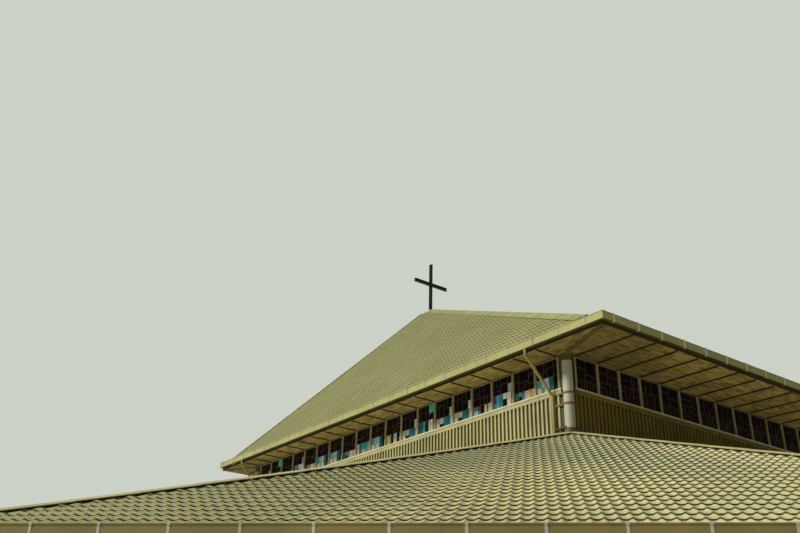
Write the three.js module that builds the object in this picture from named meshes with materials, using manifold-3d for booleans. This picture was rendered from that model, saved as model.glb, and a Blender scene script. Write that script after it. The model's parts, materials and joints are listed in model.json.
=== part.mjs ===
// A modern church building as a half-size model: a ring of eight low tiled roofs around a square,
// clerestory-lit hall, whose own roof rises from a hipped back end to a gable above the front.
// Real sizes are in metres and are multiplied by `metre`, the half-size model's millimetres.
// The ground is z = 0, the hall's centre is the origin and the front faces -Y.
import * as THREE from "three";
import Module from "manifold-3d";

const wasm = await Module();
wasm.setup();

const metre = 500;
const gap = 0.3;

// Hall
const halfHall = 9.435 * metre;
const hallWall = 0.25 * metre;
const cornerPost = 0.3 * metre;
const bayCount = 19;
const firstFin = 0.359 * metre;
const finWidth = 0.07 * metre;
const finDepth = 0.14 * metre;
const headRail = 0.05 * metre;
const finStep = 0.004 * metre;
const sillReach = 0.04 * metre;
const glassThickness = 0.02 * metre;
const columnRadius = 0.15 * metre;
const columnInset = 0.07 * metre;

// Levels above the ground
const eaveLevel = 3.56 * metre;
const skirtRise = 4.6 * metre;
const hallWallFoot = 7.55 * metre;
const sillLevel = 9.32 * metre;
const sillDepth = 0.175 * metre;
const headLevel = 10.507 * metre;
const hallGutterFoot = 10.615 * metre;
const hallGutterTop = 10.84 * metre;

// Skirt of low roofs
const diagonalRun = 12.47 * metre;
const diagonalGutterHalf = 9.92 * metre;
const slabThickness = 0.25 * metre;
const skirtOverhang = 0.9 * metre;
const skirtWall = 0.3 * metre;
const skirtGutterWidth = 0.15 * metre;
const skirtGutterDepth = 0.2 * metre;
const gutterSheet = 0.012 * metre;
const gutterLip = 0.008 * metre;
const gutterLipHeight = 0.02 * metre;
const floorThickness = 0.15 * metre;
const soffitThickness = 0.03 * metre;
const skirtTipCut = 0.06 * metre;
const capStart = 0.07 * metre;
const columnClearance = 0.02 * metre;

// Hall roof
const sideOverhang = 0.955 * metre;
const backOverhang = 2.2475 * metre;
const frontOverhang = 1.863 * metre;
const sidePitch = THREE.MathUtils.degToRad(43.43);
const ridgeLength = 1 * metre;
const vergeOverhang = 0.493 * metre;
const hallGutterWidth = 0.12 * metre;
const fasciaThickness = 0.03 * metre;
const capWidth = 0.17 * metre;
const capThickness = 0.025 * metre;
const ridgeCapThickness = 0.03 * metre;
const flashingReach = 0.2 * metre;
const flashingRise = 0.15 * metre;
const backTipCut = 0.04 * metre;
const hipCapStart = 0.02 * metre;

// Openings of the lower storey
const windowCount = 6;
const windowPitch = 3 * metre;
const windowWidth = 1.8 * metre;
const windowHeight = 1.3 * metre;
const windowSill = 1 * metre;
const glassLap = 0.06 * metre;
const doorWidth = 2.4 * metre;
const doorHeight = 2.4 * metre;
const doorThickness = 0.05 * metre;

// Cross above the ridge
const crossHeight = 2.77 * metre;
const crossArmLevel = 1.51 * metre;
const crossArmLength = 2.26 * metre;
const crossPost = 0.14 * metre;
const crossArm = 0.17 * metre;
const crossWeb = 0.03 * metre;
const crossSeat = 0.1 * metre;

// Downpipes, placed from the hall's corners
const pipeRadius = 0.045 * metre;
const pipeBend = 0.07 * metre;
const pipeClearance = 0.08 * metre;
const pipeInset = 0.55 * metre;
const backOutletInset = 0.76 * metre;
const frontOutletInset = 0.3 * metre;

const looks = {
  tile: { color: 0xb5b382, roughness: 0.75, metalness: 0.1 },
  flashing: { color: 0xc9c596, roughness: 0.55, metalness: 0.2 },
  gutter: { color: 0xbdb98a, roughness: 0.5, metalness: 0.3 },
  cladding: { color: 0xaba473, roughness: 0.6, metalness: 0.2 },
  cream: { color: 0xd3cda6, roughness: 0.6, metalness: 0.1 },
  soffit: { color: 0x8a7f55, roughness: 0.8, metalness: 0 },
  glass: { color: 0x2c2227, roughness: 0.15, metalness: 0 },
  column: { color: 0xe0dcc0, roughness: 0.5, metalness: 0 },
  wall: { color: 0xd9d4b8, roughness: 0.9, metalness: 0 },
  floor: { color: 0x9a968a, roughness: 0.9, metalness: 0 },
  wood: { color: 0x6d5238, roughness: 0.6, metalness: 0 },
  steel: { color: 0x2e3830, roughness: 0.5, metalness: 0.6 },
};

const church = new THREE.Group();

// Solids

function solid(positions, faces) {
  const mesh = new wasm.Mesh({
    numProp: 3,
    vertProperties: new Float32Array(positions.flat()),
    triVerts: new Uint32Array(faces),
  });
  return new wasm.Manifold(mesh);
}

// Joins two rings of points whose outline runs anticlockwise seen from the end ring
function loft(start, end, outline) {
  const contour = outline.map(([p, q]) => new THREE.Vector2(p, q));
  const caps = THREE.ShapeUtils.triangulateShape(contour, []);
  const count = start.length;
  const faces = [];
  for (const [i, j, k] of caps) {
    faces.push(i, k, j, i + count, j + count, k + count);
  }
  for (let i = 0; i < count; i += 1) {
    const next = (i + 1) % count;
    faces.push(i, next, next + count, i, next + count, i + count);
  }
  return solid([...start, ...end], faces);
}

function union(solids) {
  return solids.reduce((sum, next) => sum.add(next));
}

function node(name, shape, look) {
  const { vertProperties, triVerts } = shape.getMesh();
  const geometry = new THREE.BufferGeometry();
  geometry.setAttribute("position", new THREE.BufferAttribute(vertProperties, 3));
  geometry.setIndex(new THREE.BufferAttribute(triVerts, 1));
  geometry.computeVertexNormals();
  const mesh = new THREE.Mesh(geometry, new THREE.MeshStandardMaterial(looks[look]));
  mesh.name = name;
  church.add(mesh);
}

// A side of the building is turned by its angle: u points outward, a runs along it, z is up
function onSide(angle, u, a, z) {
  const cos = Math.round(Math.cos(angle) * 1e12) / 1e12;
  const sin = Math.round(Math.sin(angle) * 1e12) / 1e12;
  return [u * cos - a * sin, u * sin + a * cos, z];
}

// A plate over an outline of [u, a] points, between two heights that depend on u
function slab(angle, outline, bottom, top) {
  const low = outline.map(([u, a]) => onSide(angle, u, a, bottom(u)));
  const high = outline.map(([u, a]) => onSide(angle, u, a, top(u)));
  return loft(low, high, outline);
}

// A bar of constant [u, z] profile along a side, with its ends cut where low and high say
function bar(angle, profile, low, high) {
  const start = profile.map(([u, z]) => onSide(angle, u, high(u), z));
  const end = profile.map(([u, z]) => onSide(angle, u, low(u), z));
  return loft(start, end, profile);
}

function block(angle, u, a, z) {
  const outline = [[u[0], a[0]], [u[1], a[0]], [u[1], a[1]], [u[0], a[1]]];
  return slab(angle, outline, () => z[0], () => z[1]);
}

function cylinder(x, y, radius, low, high, sides = 24) {
  const outline = [];
  for (let i = 0; i < sides; i += 1) {
    const turn = (2 * Math.PI * i) / sides;
    outline.push([x + radius * Math.cos(turn), y + radius * Math.sin(turn)]);
  }
  return slab(0, outline, () => low, () => high);
}

// A cap folded over a hip or ridge. Each section holds [x, y, roof height] at its right edge, its
// fold and its left edge, seen along the line
function foldedCap(sections, thickness) {
  const outline = [[-1, 0], [0, 1], [1, 0], [1, 1], [0, 2], [-1, 1]];
  const [start, end] = sections.map((section) => [
    ...section.map(([x, y, z]) => [x, y, z + gap]),
    ...section.slice().reverse().map(([x, y, z]) => [x, y, z + thickness]),
  ]);
  return loft(start, end, outline);
}

// A closed ring of a [d, z] profile, d being the inset from the outline that corners(d) gives
function ring(corners, profile) {
  const places = profile.map(([d]) => corners(d));
  const count = profile.length;
  const turns = places[0].length;
  const positions = [];
  const faces = [];
  for (let k = 0; k < turns; k += 1) {
    profile.forEach(([, z], i) => positions.push([places[i][k][0], places[i][k][1], z]));
    for (let i = 0; i < count; i += 1) {
      const next = (i + 1) % count;
      const here = k * count;
      const there = ((k + 1) % turns) * count;
      faces.push(here + i, here + next, there + next, here + i, there + next, there + i);
    }
  }
  return solid(positions, faces);
}

// A box gutter whose front sheet has a lip along its top
function gutter(corners, width, foot, top) {
  const back = width - gutterSheet;
  const front = gutterLip + gutterSheet;
  const bed = foot + gutterSheet;
  const lipFoot = top - gutterLipHeight;
  return ring(corners, [
    [gutterLip, foot], [width, foot], [width, top], [back, top], [back, bed], [front, bed],
    [front, top], [0, top], [0, lipFoot], [gutterLip, lipFoot],
  ]);
}

// The octagon of the skirt roofs

const turn = Math.PI / 2;
const hallCorner = halfHall * Math.SQRT2;
const diagonalApothem = hallCorner + diagonalRun;
const straightApothem = (diagonalGutterHalf + diagonalApothem) / Math.SQRT2;
const straightGutterHalf = (diagonalApothem - diagonalGutterHalf) / Math.SQRT2;
const mitreSlope = Math.tan(Math.PI / 8);

const straightRun = straightApothem - halfHall;

const straight = {
  apothem: straightApothem,
  half: straightGutterHalf,
  rise: skirtRise / straightRun,
  hip: (u) => halfHall + ((u - halfHall) * (straightGutterHalf - halfHall)) / straightRun,
};
const diagonal = {
  apothem: diagonalApothem,
  half: diagonalGutterHalf,
  rise: skirtRise / diagonalRun,
  hip: (u) => ((u - hallCorner) * diagonalGutterHalf) / diagonalRun,
};
const sides = [
  { name: "right", angle: 0, kind: straight },
  { name: "back_right", angle: turn / 2, kind: diagonal },
  { name: "back", angle: turn, kind: straight },
  { name: "back_left", angle: 1.5 * turn, kind: diagonal },
  { name: "left", angle: 2 * turn, kind: straight },
  { name: "front_left", angle: 2.5 * turn, kind: diagonal },
  { name: "front", angle: 3 * turn, kind: straight },
  { name: "front_right", angle: 3.5 * turn, kind: diagonal },
];
const straightSides = sides.filter((side) => side.kind === straight);

function mitre(kind, u) {
  return kind.half - mitreSlope * (kind.apothem - u);
}

function octagonCorners(inset) {
  return straightSides.flatMap((side) => {
    const u = straight.apothem - inset;
    const a = mitre(straight, u);
    return [onSide(side.angle, u, -a, 0), onSide(side.angle, u, a, 0)];
  });
}

function octagon(inset, low, high) {
  return slab(0, octagonCorners(inset), () => low, () => high);
}

function skirtTop(kind, u) {
  return eaveLevel + (kind.apothem - u) * kind.rise;
}

function skirtBottom(kind, u) {
  return skirtTop(kind, u) - slabThickness * Math.hypot(1, kind.rise);
}

// The plan of one skirt roof, pulled in from its hips by the inset
function skirtPlan(kind, from, to, inset) {
  return [
    [from, -kind.hip(from) + inset], [to, -kind.hip(to) + inset],
    [to, kind.hip(to) - inset], [from, kind.hip(from) - inset],
  ];
}

const columnCentre = halfHall - columnInset;
const columnHoles = union(straightSides.map((side) => {
  const [x, y] = onSide(side.angle, columnCentre, columnCentre, 0);
  return cylinder(x, y, columnRadius + gap, 0, 2 * headLevel);
}));

const skirtReach = octagon(skirtGutterWidth + gap, 0, 2 * headLevel);
const skirtCover = union(sides.map((side) => {
  const start = side.kind === straight ? halfHall : hallCorner + gap;
  const plan = skirtPlan(side.kind, start, side.kind.apothem, 0);
  return slab(side.angle, plan, (u) => skirtBottom(side.kind, u) - gap, () => 2 * headLevel);
}));

function skirtRoof(side) {
  const kind = side.kind;
  const start = kind === straight ? halfHall + gap : hallCorner + skirtTipCut;
  const plan = skirtPlan(kind, start, kind.apothem, gap);
  const plate = slab(side.angle, plan, (u) => skirtBottom(kind, u), (u) => skirtTop(kind, u));
  return plate.intersect(skirtReach).subtract(columnHoles);
}

for (const side of sides) {
  node(`skirt_roof_${side.name}`, skirtRoof(side), "tile");
}

// The cap over the hip between a side and the next one, t running from the hall to the gutter
function skirtCap(side, next) {
  const section = (t) => {
    const edge = (roof, turnTo, inset) => {
      const from = roof.kind === straight ? halfHall : hallCorner;
      const u = from + t * (roof.kind.apothem - from);
      return onSide(roof.angle, u, turnTo * (roof.kind.hip(u) - inset), skirtTop(roof.kind, u));
    };
    return [edge(side, 1, capWidth), edge(side, 1, 0), edge(next, -1, capWidth)];
  };
  return foldedCap([section(capStart / diagonalRun), section(1)], capThickness);
}

// The flashing that turns up the hall's wall where a straight skirt roof meets it
function baseFlashing(side) {
  const foot = halfHall + gap;
  const tip = halfHall + flashingReach;
  const bend = foot + capThickness;
  const level = (u) => skirtTop(straight, u);
  const profile = [
    [foot, level(foot) + gap], [tip, level(tip) + gap],
    [tip, level(tip) + capThickness], [bend, level(bend) + capThickness],
    [bend, level(foot) + flashingRise], [foot, level(foot) + flashingRise],
  ];
  const end = (u) => columnCentre - columnRadius - columnClearance + (u - foot);
  return bar(side.angle, profile, (u) => -end(u), end);
}

const skirtCaps = union(sides.map((side, i) => skirtCap(side, sides[(i + 1) % sides.length])));
const skirtFlashings = skirtCaps.intersect(skirtReach).add(union(straightSides.map(baseFlashing)));
node("skirt_flashings", skirtFlashings.subtract(columnHoles), "flashing");

node(
  "skirt_gutter",
  gutter(octagonCorners, skirtGutterWidth, eaveLevel - skirtGutterDepth, eaveLevel),
  "gutter",
);

// The lower storey

const soffitTop = skirtBottom(straight, straight.apothem - skirtGutterWidth) - gap;
const soffitFoot = soffitTop - soffitThickness;
const soffitInner = skirtOverhang - gap;
const skirtSoffit = ring(octagonCorners, [
  [skirtGutterWidth, soffitFoot], [soffitInner, soffitFoot],
  [soffitInner, soffitTop], [skirtGutterWidth, soffitTop],
]);
node("skirt_soffit", skirtSoffit, "soffit");

node("floor_slab", octagon(skirtOverhang + skirtWall + gap, 0, floorThickness), "floor");

// Each wall has a row of windows behind one sheet of glass, but the front one has the entrance
const front = 3 * turn;
const doorFoot = floorThickness;
const sheetReach = ((windowCount - 1) * windowPitch + windowWidth) / 2 + glassLap;
for (const side of sides) {
  const kind = side.kind;
  const outer = kind.apothem - skirtOverhang;
  const inner = outer - skirtWall;
  const top = (u) => skirtBottom(kind, u) - 2 * gap;
  const profile = [[inner, 0], [outer, 0], [outer, top(outer)], [inner, top(inner)]];
  const wall = bar(side.angle, profile, (u) => -mitre(kind, u) + gap, (u) => mitre(kind, u) - gap);
  const opening = (middle, width, foot, height) => {
    const across = [middle - width / 2, middle + width / 2];
    return block(side.angle, [inner - skirtWall, outer + skirtWall], across, [foot, foot + height]);
  };
  const openings = [];
  if (side.angle === front) {
    openings.push(opening(0, doorWidth, doorFoot, doorHeight));
  } else {
    for (let i = 0; i < windowCount; i += 1) {
      const middle = (i - (windowCount - 1) / 2) * windowPitch;
      openings.push(opening(middle, windowWidth, windowSill, windowHeight));
    }
    const depth = [inner - gap - glassThickness, inner - gap];
    const rise = [windowSill - glassLap, windowSill + windowHeight + glassLap];
    const sheet = block(side.angle, depth, [-sheetReach, sheetReach], rise);
    node(`skirt_glass_${side.name}`, sheet, "glass");
  }
  node(`skirt_wall_${side.name}`, wall.subtract(skirtCover).subtract(union(openings)), "wall");
}

const doorPlane = straight.apothem - skirtOverhang - skirtWall / 2;
const doorDepth = [doorPlane - doorThickness / 2, doorPlane + doorThickness / 2];
const doorRise = [doorFoot + gap, doorFoot + doorHeight - gap];
node("front_door_left", block(front, doorDepth, [-doorWidth / 2 + gap, -gap], doorRise), "wood");
node("front_door_right", block(front, doorDepth, [gap, doorWidth / 2 - gap], doorRise), "wood");

// The hall's roof planes

const sideRise = Math.tan(sidePitch);
const eaveHalf = halfHall + sideOverhang;
const backEave = halfHall + backOverhang;
const frontEave = halfHall + frontOverhang;
const verge = halfHall + vergeOverhang;
const ridgeLevel = hallGutterTop + eaveHalf * sideRise;
const ridgeBack = -verge + ridgeLength;
const backRise = (ridgeLevel - hallGutterTop) / (backEave - ridgeBack);

const sideTop = (u) => hallGutterTop + (eaveHalf - u) * sideRise;
const sideBottom = (u) => sideTop(u) - slabThickness * Math.hypot(1, sideRise);
const backTop = (u) => hallGutterTop + (backEave - u) * backRise;
const backBottom = (u) => backTop(u) - slabThickness * Math.hypot(1, backRise);
// The y of the hip above a point x of the side roof, and the x above a point y of the back roof
const hipY = (x) => backEave - ((eaveHalf - x) * sideRise) / backRise;
const hipX = (y) => eaveHalf - ((backEave - y) * backRise) / sideRise;

// Side planes lie left and right of the ridge; `a` runs towards the back on the right side
function sidePlan(end, outer, inner, inset) {
  const outline = [
    [inner, -verge], [outer, -verge],
    [outer, hipY(outer) - inset], [inner, hipY(inner) - inset],
  ];
  return outline.map(([u, y]) => [u, end * y]);
}

function sideSlab(end, plan, bottom, top) {
  const ordered = end > 0 ? plan : plan.slice().reverse();
  return slab(end > 0 ? 0 : 2 * turn, ordered, bottom, top);
}

const roofReach = block(
  0,
  [-eaveHalf + hallGutterWidth + gap, eaveHalf - hallGutterWidth - gap],
  [-frontEave, backEave - hallGutterWidth - gap],
  [0, 2 * ridgeLevel],
);
const backPlan = (inset, tip) => [
  [tip, -hipX(tip) + inset], [backEave, -hipX(backEave) + inset],
  [backEave, hipX(backEave) - inset], [tip, hipX(tip) - inset],
];
const high = () => 2 * ridgeLevel;
const roofCover = union([
  sideSlab(1, sidePlan(1, eaveHalf, 0, 0), (u) => sideBottom(u) - gap, high),
  sideSlab(-1, sidePlan(-1, eaveHalf, 0, 0), (u) => sideBottom(u) - gap, high),
  slab(turn, backPlan(0, ridgeBack + gap), (u) => backBottom(u) - gap, high),
]);

const sideInset = gap * 2;
for (const [name, end] of [["right", 1], ["left", -1]]) {
  const plate = sideSlab(end, sidePlan(end, eaveHalf, gap, sideInset), sideBottom, sideTop);
  node(`hall_roof_${name}`, plate.intersect(roofReach), "tile");
}
const backTip = ridgeBack + backTipCut;
const backPlate = slab(turn, backPlan(gap, backTip), backBottom, backTop);
node("hall_roof_back", backPlate.intersect(roofReach), "tile");

// Folded caps over the hips and the ridge, with the boards that close the verge
const vergeFront = -verge - fasciaThickness;

const capLength = (capWidth * sideRise) / backRise;

// The right hip's cap, from close to the ridge out to the gutter; the left one mirrors it
function hipCap(end) {
  const section = (x) => {
    const y = hipY(x);
    const onSideRoof = [end * x, y - capLength, sideTop(x)];
    const fold = [end * x, y, sideTop(x)];
    const onBackRoof = [end * (x - capWidth), y, backTop(y)];
    return end > 0 ? [onSideRoof, fold, onBackRoof] : [onBackRoof, fold, onSideRoof];
  };
  return foldedCap([section(hipCapStart), section(eaveHalf - hallGutterWidth)], capThickness);
}

function ridgeCap() {
  const section = (y) => [
    [-capWidth, y, sideTop(capWidth)], [0, y, ridgeLevel], [capWidth, y, sideTop(capWidth)],
  ];
  return foldedCap([section(ridgeBack), section(vergeFront)], ridgeCapThickness);
}

function vergeBoard(end) {
  const back = -verge - gap;
  const outline = [[0, vergeFront], [eaveHalf, vergeFront], [eaveHalf, back], [0, back]];
  const plan = outline.map(([u, y]) => [u, end * y]);
  return sideSlab(end, plan, sideBottom, (u) => sideTop(u) + capThickness);
}

const roofTrim = union([ridgeCap(), hipCap(1), hipCap(-1), vergeBoard(1), vergeBoard(-1)]);
node("hall_roof_caps", roofTrim.intersect(roofReach), "flashing");

// Gutter, fascia and soffit around the hall
function eaveCorners(inset) {
  const x = eaveHalf - inset;
  const y = [-(frontEave - inset), backEave - inset];
  return [[x, y[0]], [x, y[1]], [-x, y[1]], [-x, y[0]]];
}

node("hall_gutter", gutter(eaveCorners, hallGutterWidth, hallGutterFoot, hallGutterTop), "gutter");

const soffitReach = hallGutterWidth + gap;
const fasciaReach = soffitReach + fasciaThickness;
const fasciaTop = sideBottom(eaveHalf - hallGutterWidth) - gap;
const fascia = ring(eaveCorners, [
  [soffitReach, headLevel], [fasciaReach, headLevel],
  [fasciaReach, fasciaTop], [soffitReach, fasciaTop],
]);
const boardTop = headLevel + soffitThickness;
const boards = slab(0, eaveCorners(soffitReach), () => headLevel, () => boardTop);
const hallSpace = halfHall + gap;
const hallHole = block(0, [-hallSpace, hallSpace], [-hallSpace, hallSpace], [0, 2 * headLevel]);
node("hall_soffit", boards.subtract(hallHole).add(fascia), "soffit");

// Hall walls, windows and columns

const wallEnd = halfHall - cornerPost;
const hallInner = halfHall - hallWall;
const sillTop = sillLevel + sillDepth;
const finHead = headLevel - gap;
const wallLength = [-wallEnd - gap, wallEnd + gap];
const wallPieces = straightSides.flatMap((side) => [
  block(side.angle, [hallInner, halfHall], wallLength, [hallWallFoot, sillLevel - gap]),
  block(side.angle, [wallEnd, halfHall], [wallEnd, halfHall], [hallWallFoot, finHead]),
]);
node("hall_walls", union(wallPieces).subtract(columnHoles), "cladding");

const finInner = halfHall - finDepth;
const bay = (2 * (halfHall - firstFin)) / bayCount;
const across = [-wallEnd + gap, wallEnd - gap];
for (const side of straightSides) {
  const sill = block(side.angle, [hallInner, halfHall + sillReach], across, [sillLevel, sillTop]);
  const rail = block(side.angle, [finInner, halfHall], across, [headLevel - headRail, finHead]);
  const fins = [];
  for (let i = 0; i <= bayCount; i += 1) {
    const middle = -halfHall + firstFin + i * bay;
    const width = [middle - finWidth / 2, middle + finWidth / 2];
    const depth = [finInner + finStep, halfHall - finStep];
    fins.push(block(side.angle, depth, width, [sillTop - finStep, finHead - headRail / 2]));
  }
  node(`hall_window_frame_${side.name}`, union([sill, rail, ...fins]), "cream");
  const depth = [finInner - gap - glassThickness, finInner - gap];
  node(`hall_glass_${side.name}`, block(side.angle, depth, across, [sillTop + gap, finHead]), "glass");
}

const columnNames = ["back_right", "back_left", "front_left", "front_right"];
columnNames.forEach((name, i) => {
  const [x, y] = onSide(straightSides[i].angle, columnCentre, columnCentre, 0);
  node(`hall_column_${name}`, cylinder(x, y, columnRadius, floorThickness + gap, finHead), "column");
});

// Head beams under the roof on three sides, and the gable wall that closes the front
const headBeams = union(straightSides.map((side) => {
  return block(side.angle, [hallInner, halfHall], [-halfHall, halfHall], [headLevel, 2 * ridgeLevel]);
}));
node("hall_gable_and_head_beams", headBeams.subtract(roofCover), "cladding");

// Downpipes: from the gutter back to the wall at the sill, then down to the skirt roof
function pipe(points) {
  const parts = [];
  for (let i = 0; i + 1 < points.length; i += 1) {
    const from = points[i];
    const along = points[i + 1].clone().sub(from);
    const tube = new THREE.CylinderGeometry(pipeRadius, pipeRadius, along.length(), 12);
    tube.rotateX(Math.PI / 2);
    tube.translate(0, 0, along.length() / 2);
    const up = new THREE.Vector3(0, 0, 1);
    const turnTo = new THREE.Quaternion().setFromUnitVectors(up, along.normalize());
    parts.push(fromGeometry(tube, turnTo, from));
    if (i > 0) {
      parts.push(fromGeometry(new THREE.IcosahedronGeometry(pipeRadius, 1), turnTo, from));
    }
  }
  return union(parts);
}

function fromGeometry(geometry, quaternion, position) {
  geometry.applyMatrix4(new THREE.Matrix4().compose(position, quaternion, new THREE.Vector3(1, 1, 1)));
  const keyOf = (v) => v.map((c) => Math.round(c * 1000)).join();
  const places = new Map();
  const points = [];
  const index = [];
  const source = geometry.getAttribute("position");
  const order = geometry.index ? Array.from(geometry.index.array) : [...Array(source.count).keys()];
  for (const i of order) {
    const v = [source.getX(i), source.getY(i), source.getZ(i)];
    const key = keyOf(v);
    if (!places.has(key)) {
      places.set(key, points.length);
      points.push(v);
    }
    index.push(places.get(key));
  }
  const faces = [];
  for (let i = 0; i < index.length; i += 3) {
    const [p, q, r] = index.slice(i, i + 3);
    if (p !== q && q !== r && r !== p) {
      faces.push(p, q, r);
    }
  }
  return solid(points, faces);
}

const pipeOff = halfHall + sillReach + pipeRadius + gap;
const pipeTop = hallGutterFoot - gap;
const pipeFoot = skirtTop(straight, pipeOff) + pipeClearance;
const pipeStyles = [
  { name: "back", wall: halfHall - pipeInset, outlet: halfHall - backOutletInset },
  { name: "front", wall: pipeInset - halfHall, outlet: frontOutletInset - halfHall },
];
for (const [side, end] of [["right", 1], ["left", -1]]) {
  for (const style of pipeStyles) {
    const outlet = end * (eaveHalf - hallGutterWidth / 2);
    const run = pipe([
      new THREE.Vector3(outlet, style.outlet, hallGutterFoot + pipeRadius),
      new THREE.Vector3(outlet, style.outlet, headLevel - pipeBend),
      new THREE.Vector3(end * pipeOff, style.wall, sillLevel),
      new THREE.Vector3(end * pipeOff, style.wall, pipeFoot),
    ]);
    const above = cylinder(0, 0, 2 * backEave, pipeTop, ridgeLevel);
    node(`downpipe_${style.name}_${side}`, run.subtract(above), "gutter");
  }
}

// The cross stands where the hips meet the ridge, its arms across the building
function channel(width, depth, web) {
  const half = width / 2;
  const wing = depth / 2;
  const core = web / 2;
  return [
    [-half, -wing], [half, -wing], [half, -wing + web], [core, -wing + web],
    [core, wing - web], [half, wing - web], [half, wing], [-half, wing],
    [-half, wing - web], [-core, wing - web], [-core, -wing + web], [-half, -wing + web],
  ];
}

const crossFoot = ridgeLevel - crossSeat;
const crossPlace = ridgeBack - crossPost / 2;
const postOutline = channel(crossPost, crossPost, crossWeb).map(([x, y]) => [x, y + crossPlace]);
const post = slab(0, postOutline, () => crossFoot, () => ridgeLevel + crossHeight);
const armProfile = channel(crossPost, crossArm, crossWeb);
const arm = bar(
  turn,
  armProfile.map(([y, z]) => [y + crossPlace, z + ridgeLevel + crossArmLevel]),
  () => -crossArmLength / 2,
  () => crossArmLength / 2,
);
const crossCut = (u) => sideTop(u) + ridgeCapThickness + gap;
const underCross = union([1, -1].map((end) => {
  const reach = [-verge, ridgeBack + crossPost];
  const outline = [[0, reach[0]], [crossArm, reach[0]], [crossArm, reach[1]], [0, reach[1]]];
  return sideSlab(end, outline.map(([u, y]) => [u, end * y]), () => 0, crossCut);
}));
node("cross", post.add(arm).subtract(underCross), "steel");

export default church;
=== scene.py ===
# %% [markdown]
# A modern church, half-size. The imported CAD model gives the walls, roof slabs, gutters, glass and
# the cross as plain solids in their true places. This lesson dresses them: tile sheets, folded
# caps, ribbed cladding, leaded glass and timber boards, each built where its solid is.
# The first two lines of code come before all else, because every piece hangs on that frame.

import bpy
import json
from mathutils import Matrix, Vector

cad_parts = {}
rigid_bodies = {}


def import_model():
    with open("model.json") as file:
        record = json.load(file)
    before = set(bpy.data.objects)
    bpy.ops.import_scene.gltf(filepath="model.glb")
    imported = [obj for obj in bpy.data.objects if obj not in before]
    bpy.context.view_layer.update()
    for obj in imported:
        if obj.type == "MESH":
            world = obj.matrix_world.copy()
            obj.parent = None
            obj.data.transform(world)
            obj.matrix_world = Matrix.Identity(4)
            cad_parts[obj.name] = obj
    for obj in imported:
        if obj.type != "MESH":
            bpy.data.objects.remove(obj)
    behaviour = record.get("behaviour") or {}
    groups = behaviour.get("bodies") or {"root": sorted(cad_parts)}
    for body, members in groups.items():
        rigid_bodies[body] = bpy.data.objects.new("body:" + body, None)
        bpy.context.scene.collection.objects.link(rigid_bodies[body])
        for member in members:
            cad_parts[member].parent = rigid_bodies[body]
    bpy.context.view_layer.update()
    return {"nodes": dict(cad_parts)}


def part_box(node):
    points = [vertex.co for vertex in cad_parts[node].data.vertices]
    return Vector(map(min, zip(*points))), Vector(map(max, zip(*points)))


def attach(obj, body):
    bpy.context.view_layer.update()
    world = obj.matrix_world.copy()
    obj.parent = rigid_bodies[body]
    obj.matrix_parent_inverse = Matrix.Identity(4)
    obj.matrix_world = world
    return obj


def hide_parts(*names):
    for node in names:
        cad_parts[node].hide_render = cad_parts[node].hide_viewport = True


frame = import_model()

# %% [markdown]
# All lengths below are written in metres of the real building and multiplied by REAL, because the
# model is half as large. So a wave of the roof's sheets is 180 mm wide here, as a roofer knows it.

# %% Sizes of the building
import json
import math
import random

import bmesh
import bpy
from mathutils import Matrix, Vector

REAL = 0.5
HALF_HALL = 9.435 * REAL
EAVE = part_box("skirt_gutter")[1].z
SKIRT_RISE = 4.6 * REAL
HALL_CORNER = HALF_HALL * math.sqrt(2)
DIAGONAL_EAVE = HALL_CORNER + 12.47 * REAL
DIAGONAL_HALF = 9.92 * REAL
STRAIGHT_EAVE = (DIAGONAL_HALF + DIAGONAL_EAVE) / math.sqrt(2)
STRAIGHT_HALF = (DIAGONAL_EAVE - DIAGONAL_HALF) / math.sqrt(2)
HALL_EAVE_HALF = HALF_HALL + 0.955 * REAL
BACK_EAVE = HALF_HALL + 2.2475 * REAL
FRONT_EAVE = HALF_HALL + 1.863 * REAL
VERGE = HALF_HALL + 0.493 * REAL
RIDGE_BACK = -VERGE + 1.0 * REAL
HALL_GUTTER_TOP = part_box("hall_gutter")[1].z
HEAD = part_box("hall_soffit")[0].z
SILL = 9.32 * REAL
SILL_TOP = 9.495 * REAL
SIDE_SLOPE = math.radians(43.43)
RIDGE = HALL_GUTTER_TOP + HALL_EAVE_HALF * math.tan(SIDE_SLOPE)
STRAIGHT_SLOPE = math.atan(SKIRT_RISE / (STRAIGHT_EAVE - HALF_HALL))
DIAGONAL_SLOPE = math.atan(SKIRT_RISE / (DIAGONAL_EAVE - HALL_CORNER))
QUARTER = math.pi / 2
STRAIGHT = {"right": 0.0, "back": QUARTER, "left": 2 * QUARTER, "front": 3 * QUARTER}
DIAGONAL = {
    "back_right": 0.5 * QUARTER, "back_left": 1.5 * QUARTER,
    "front_left": 2.5 * QUARTER, "front_right": 3.5 * QUARTER,
}
# The skirt's faces: their directions, the eave's distance and half-width, and the slope.
SKIRT_FACES = (
    (STRAIGHT, STRAIGHT_EAVE, STRAIGHT_HALF, STRAIGHT_SLOPE),
    (DIAGONAL, DIAGONAL_EAVE, DIAGONAL_HALF, DIAGONAL_SLOPE),
)
# The hall's steep roofs: name, direction, and the sign of x at their back end.
SIDES = (("right", 0.0, 1), ("left", 2 * QUARTER, -1))
CORNERS = ((1, 1), (-1, 1), (-1, -1), (1, -1))
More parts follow.
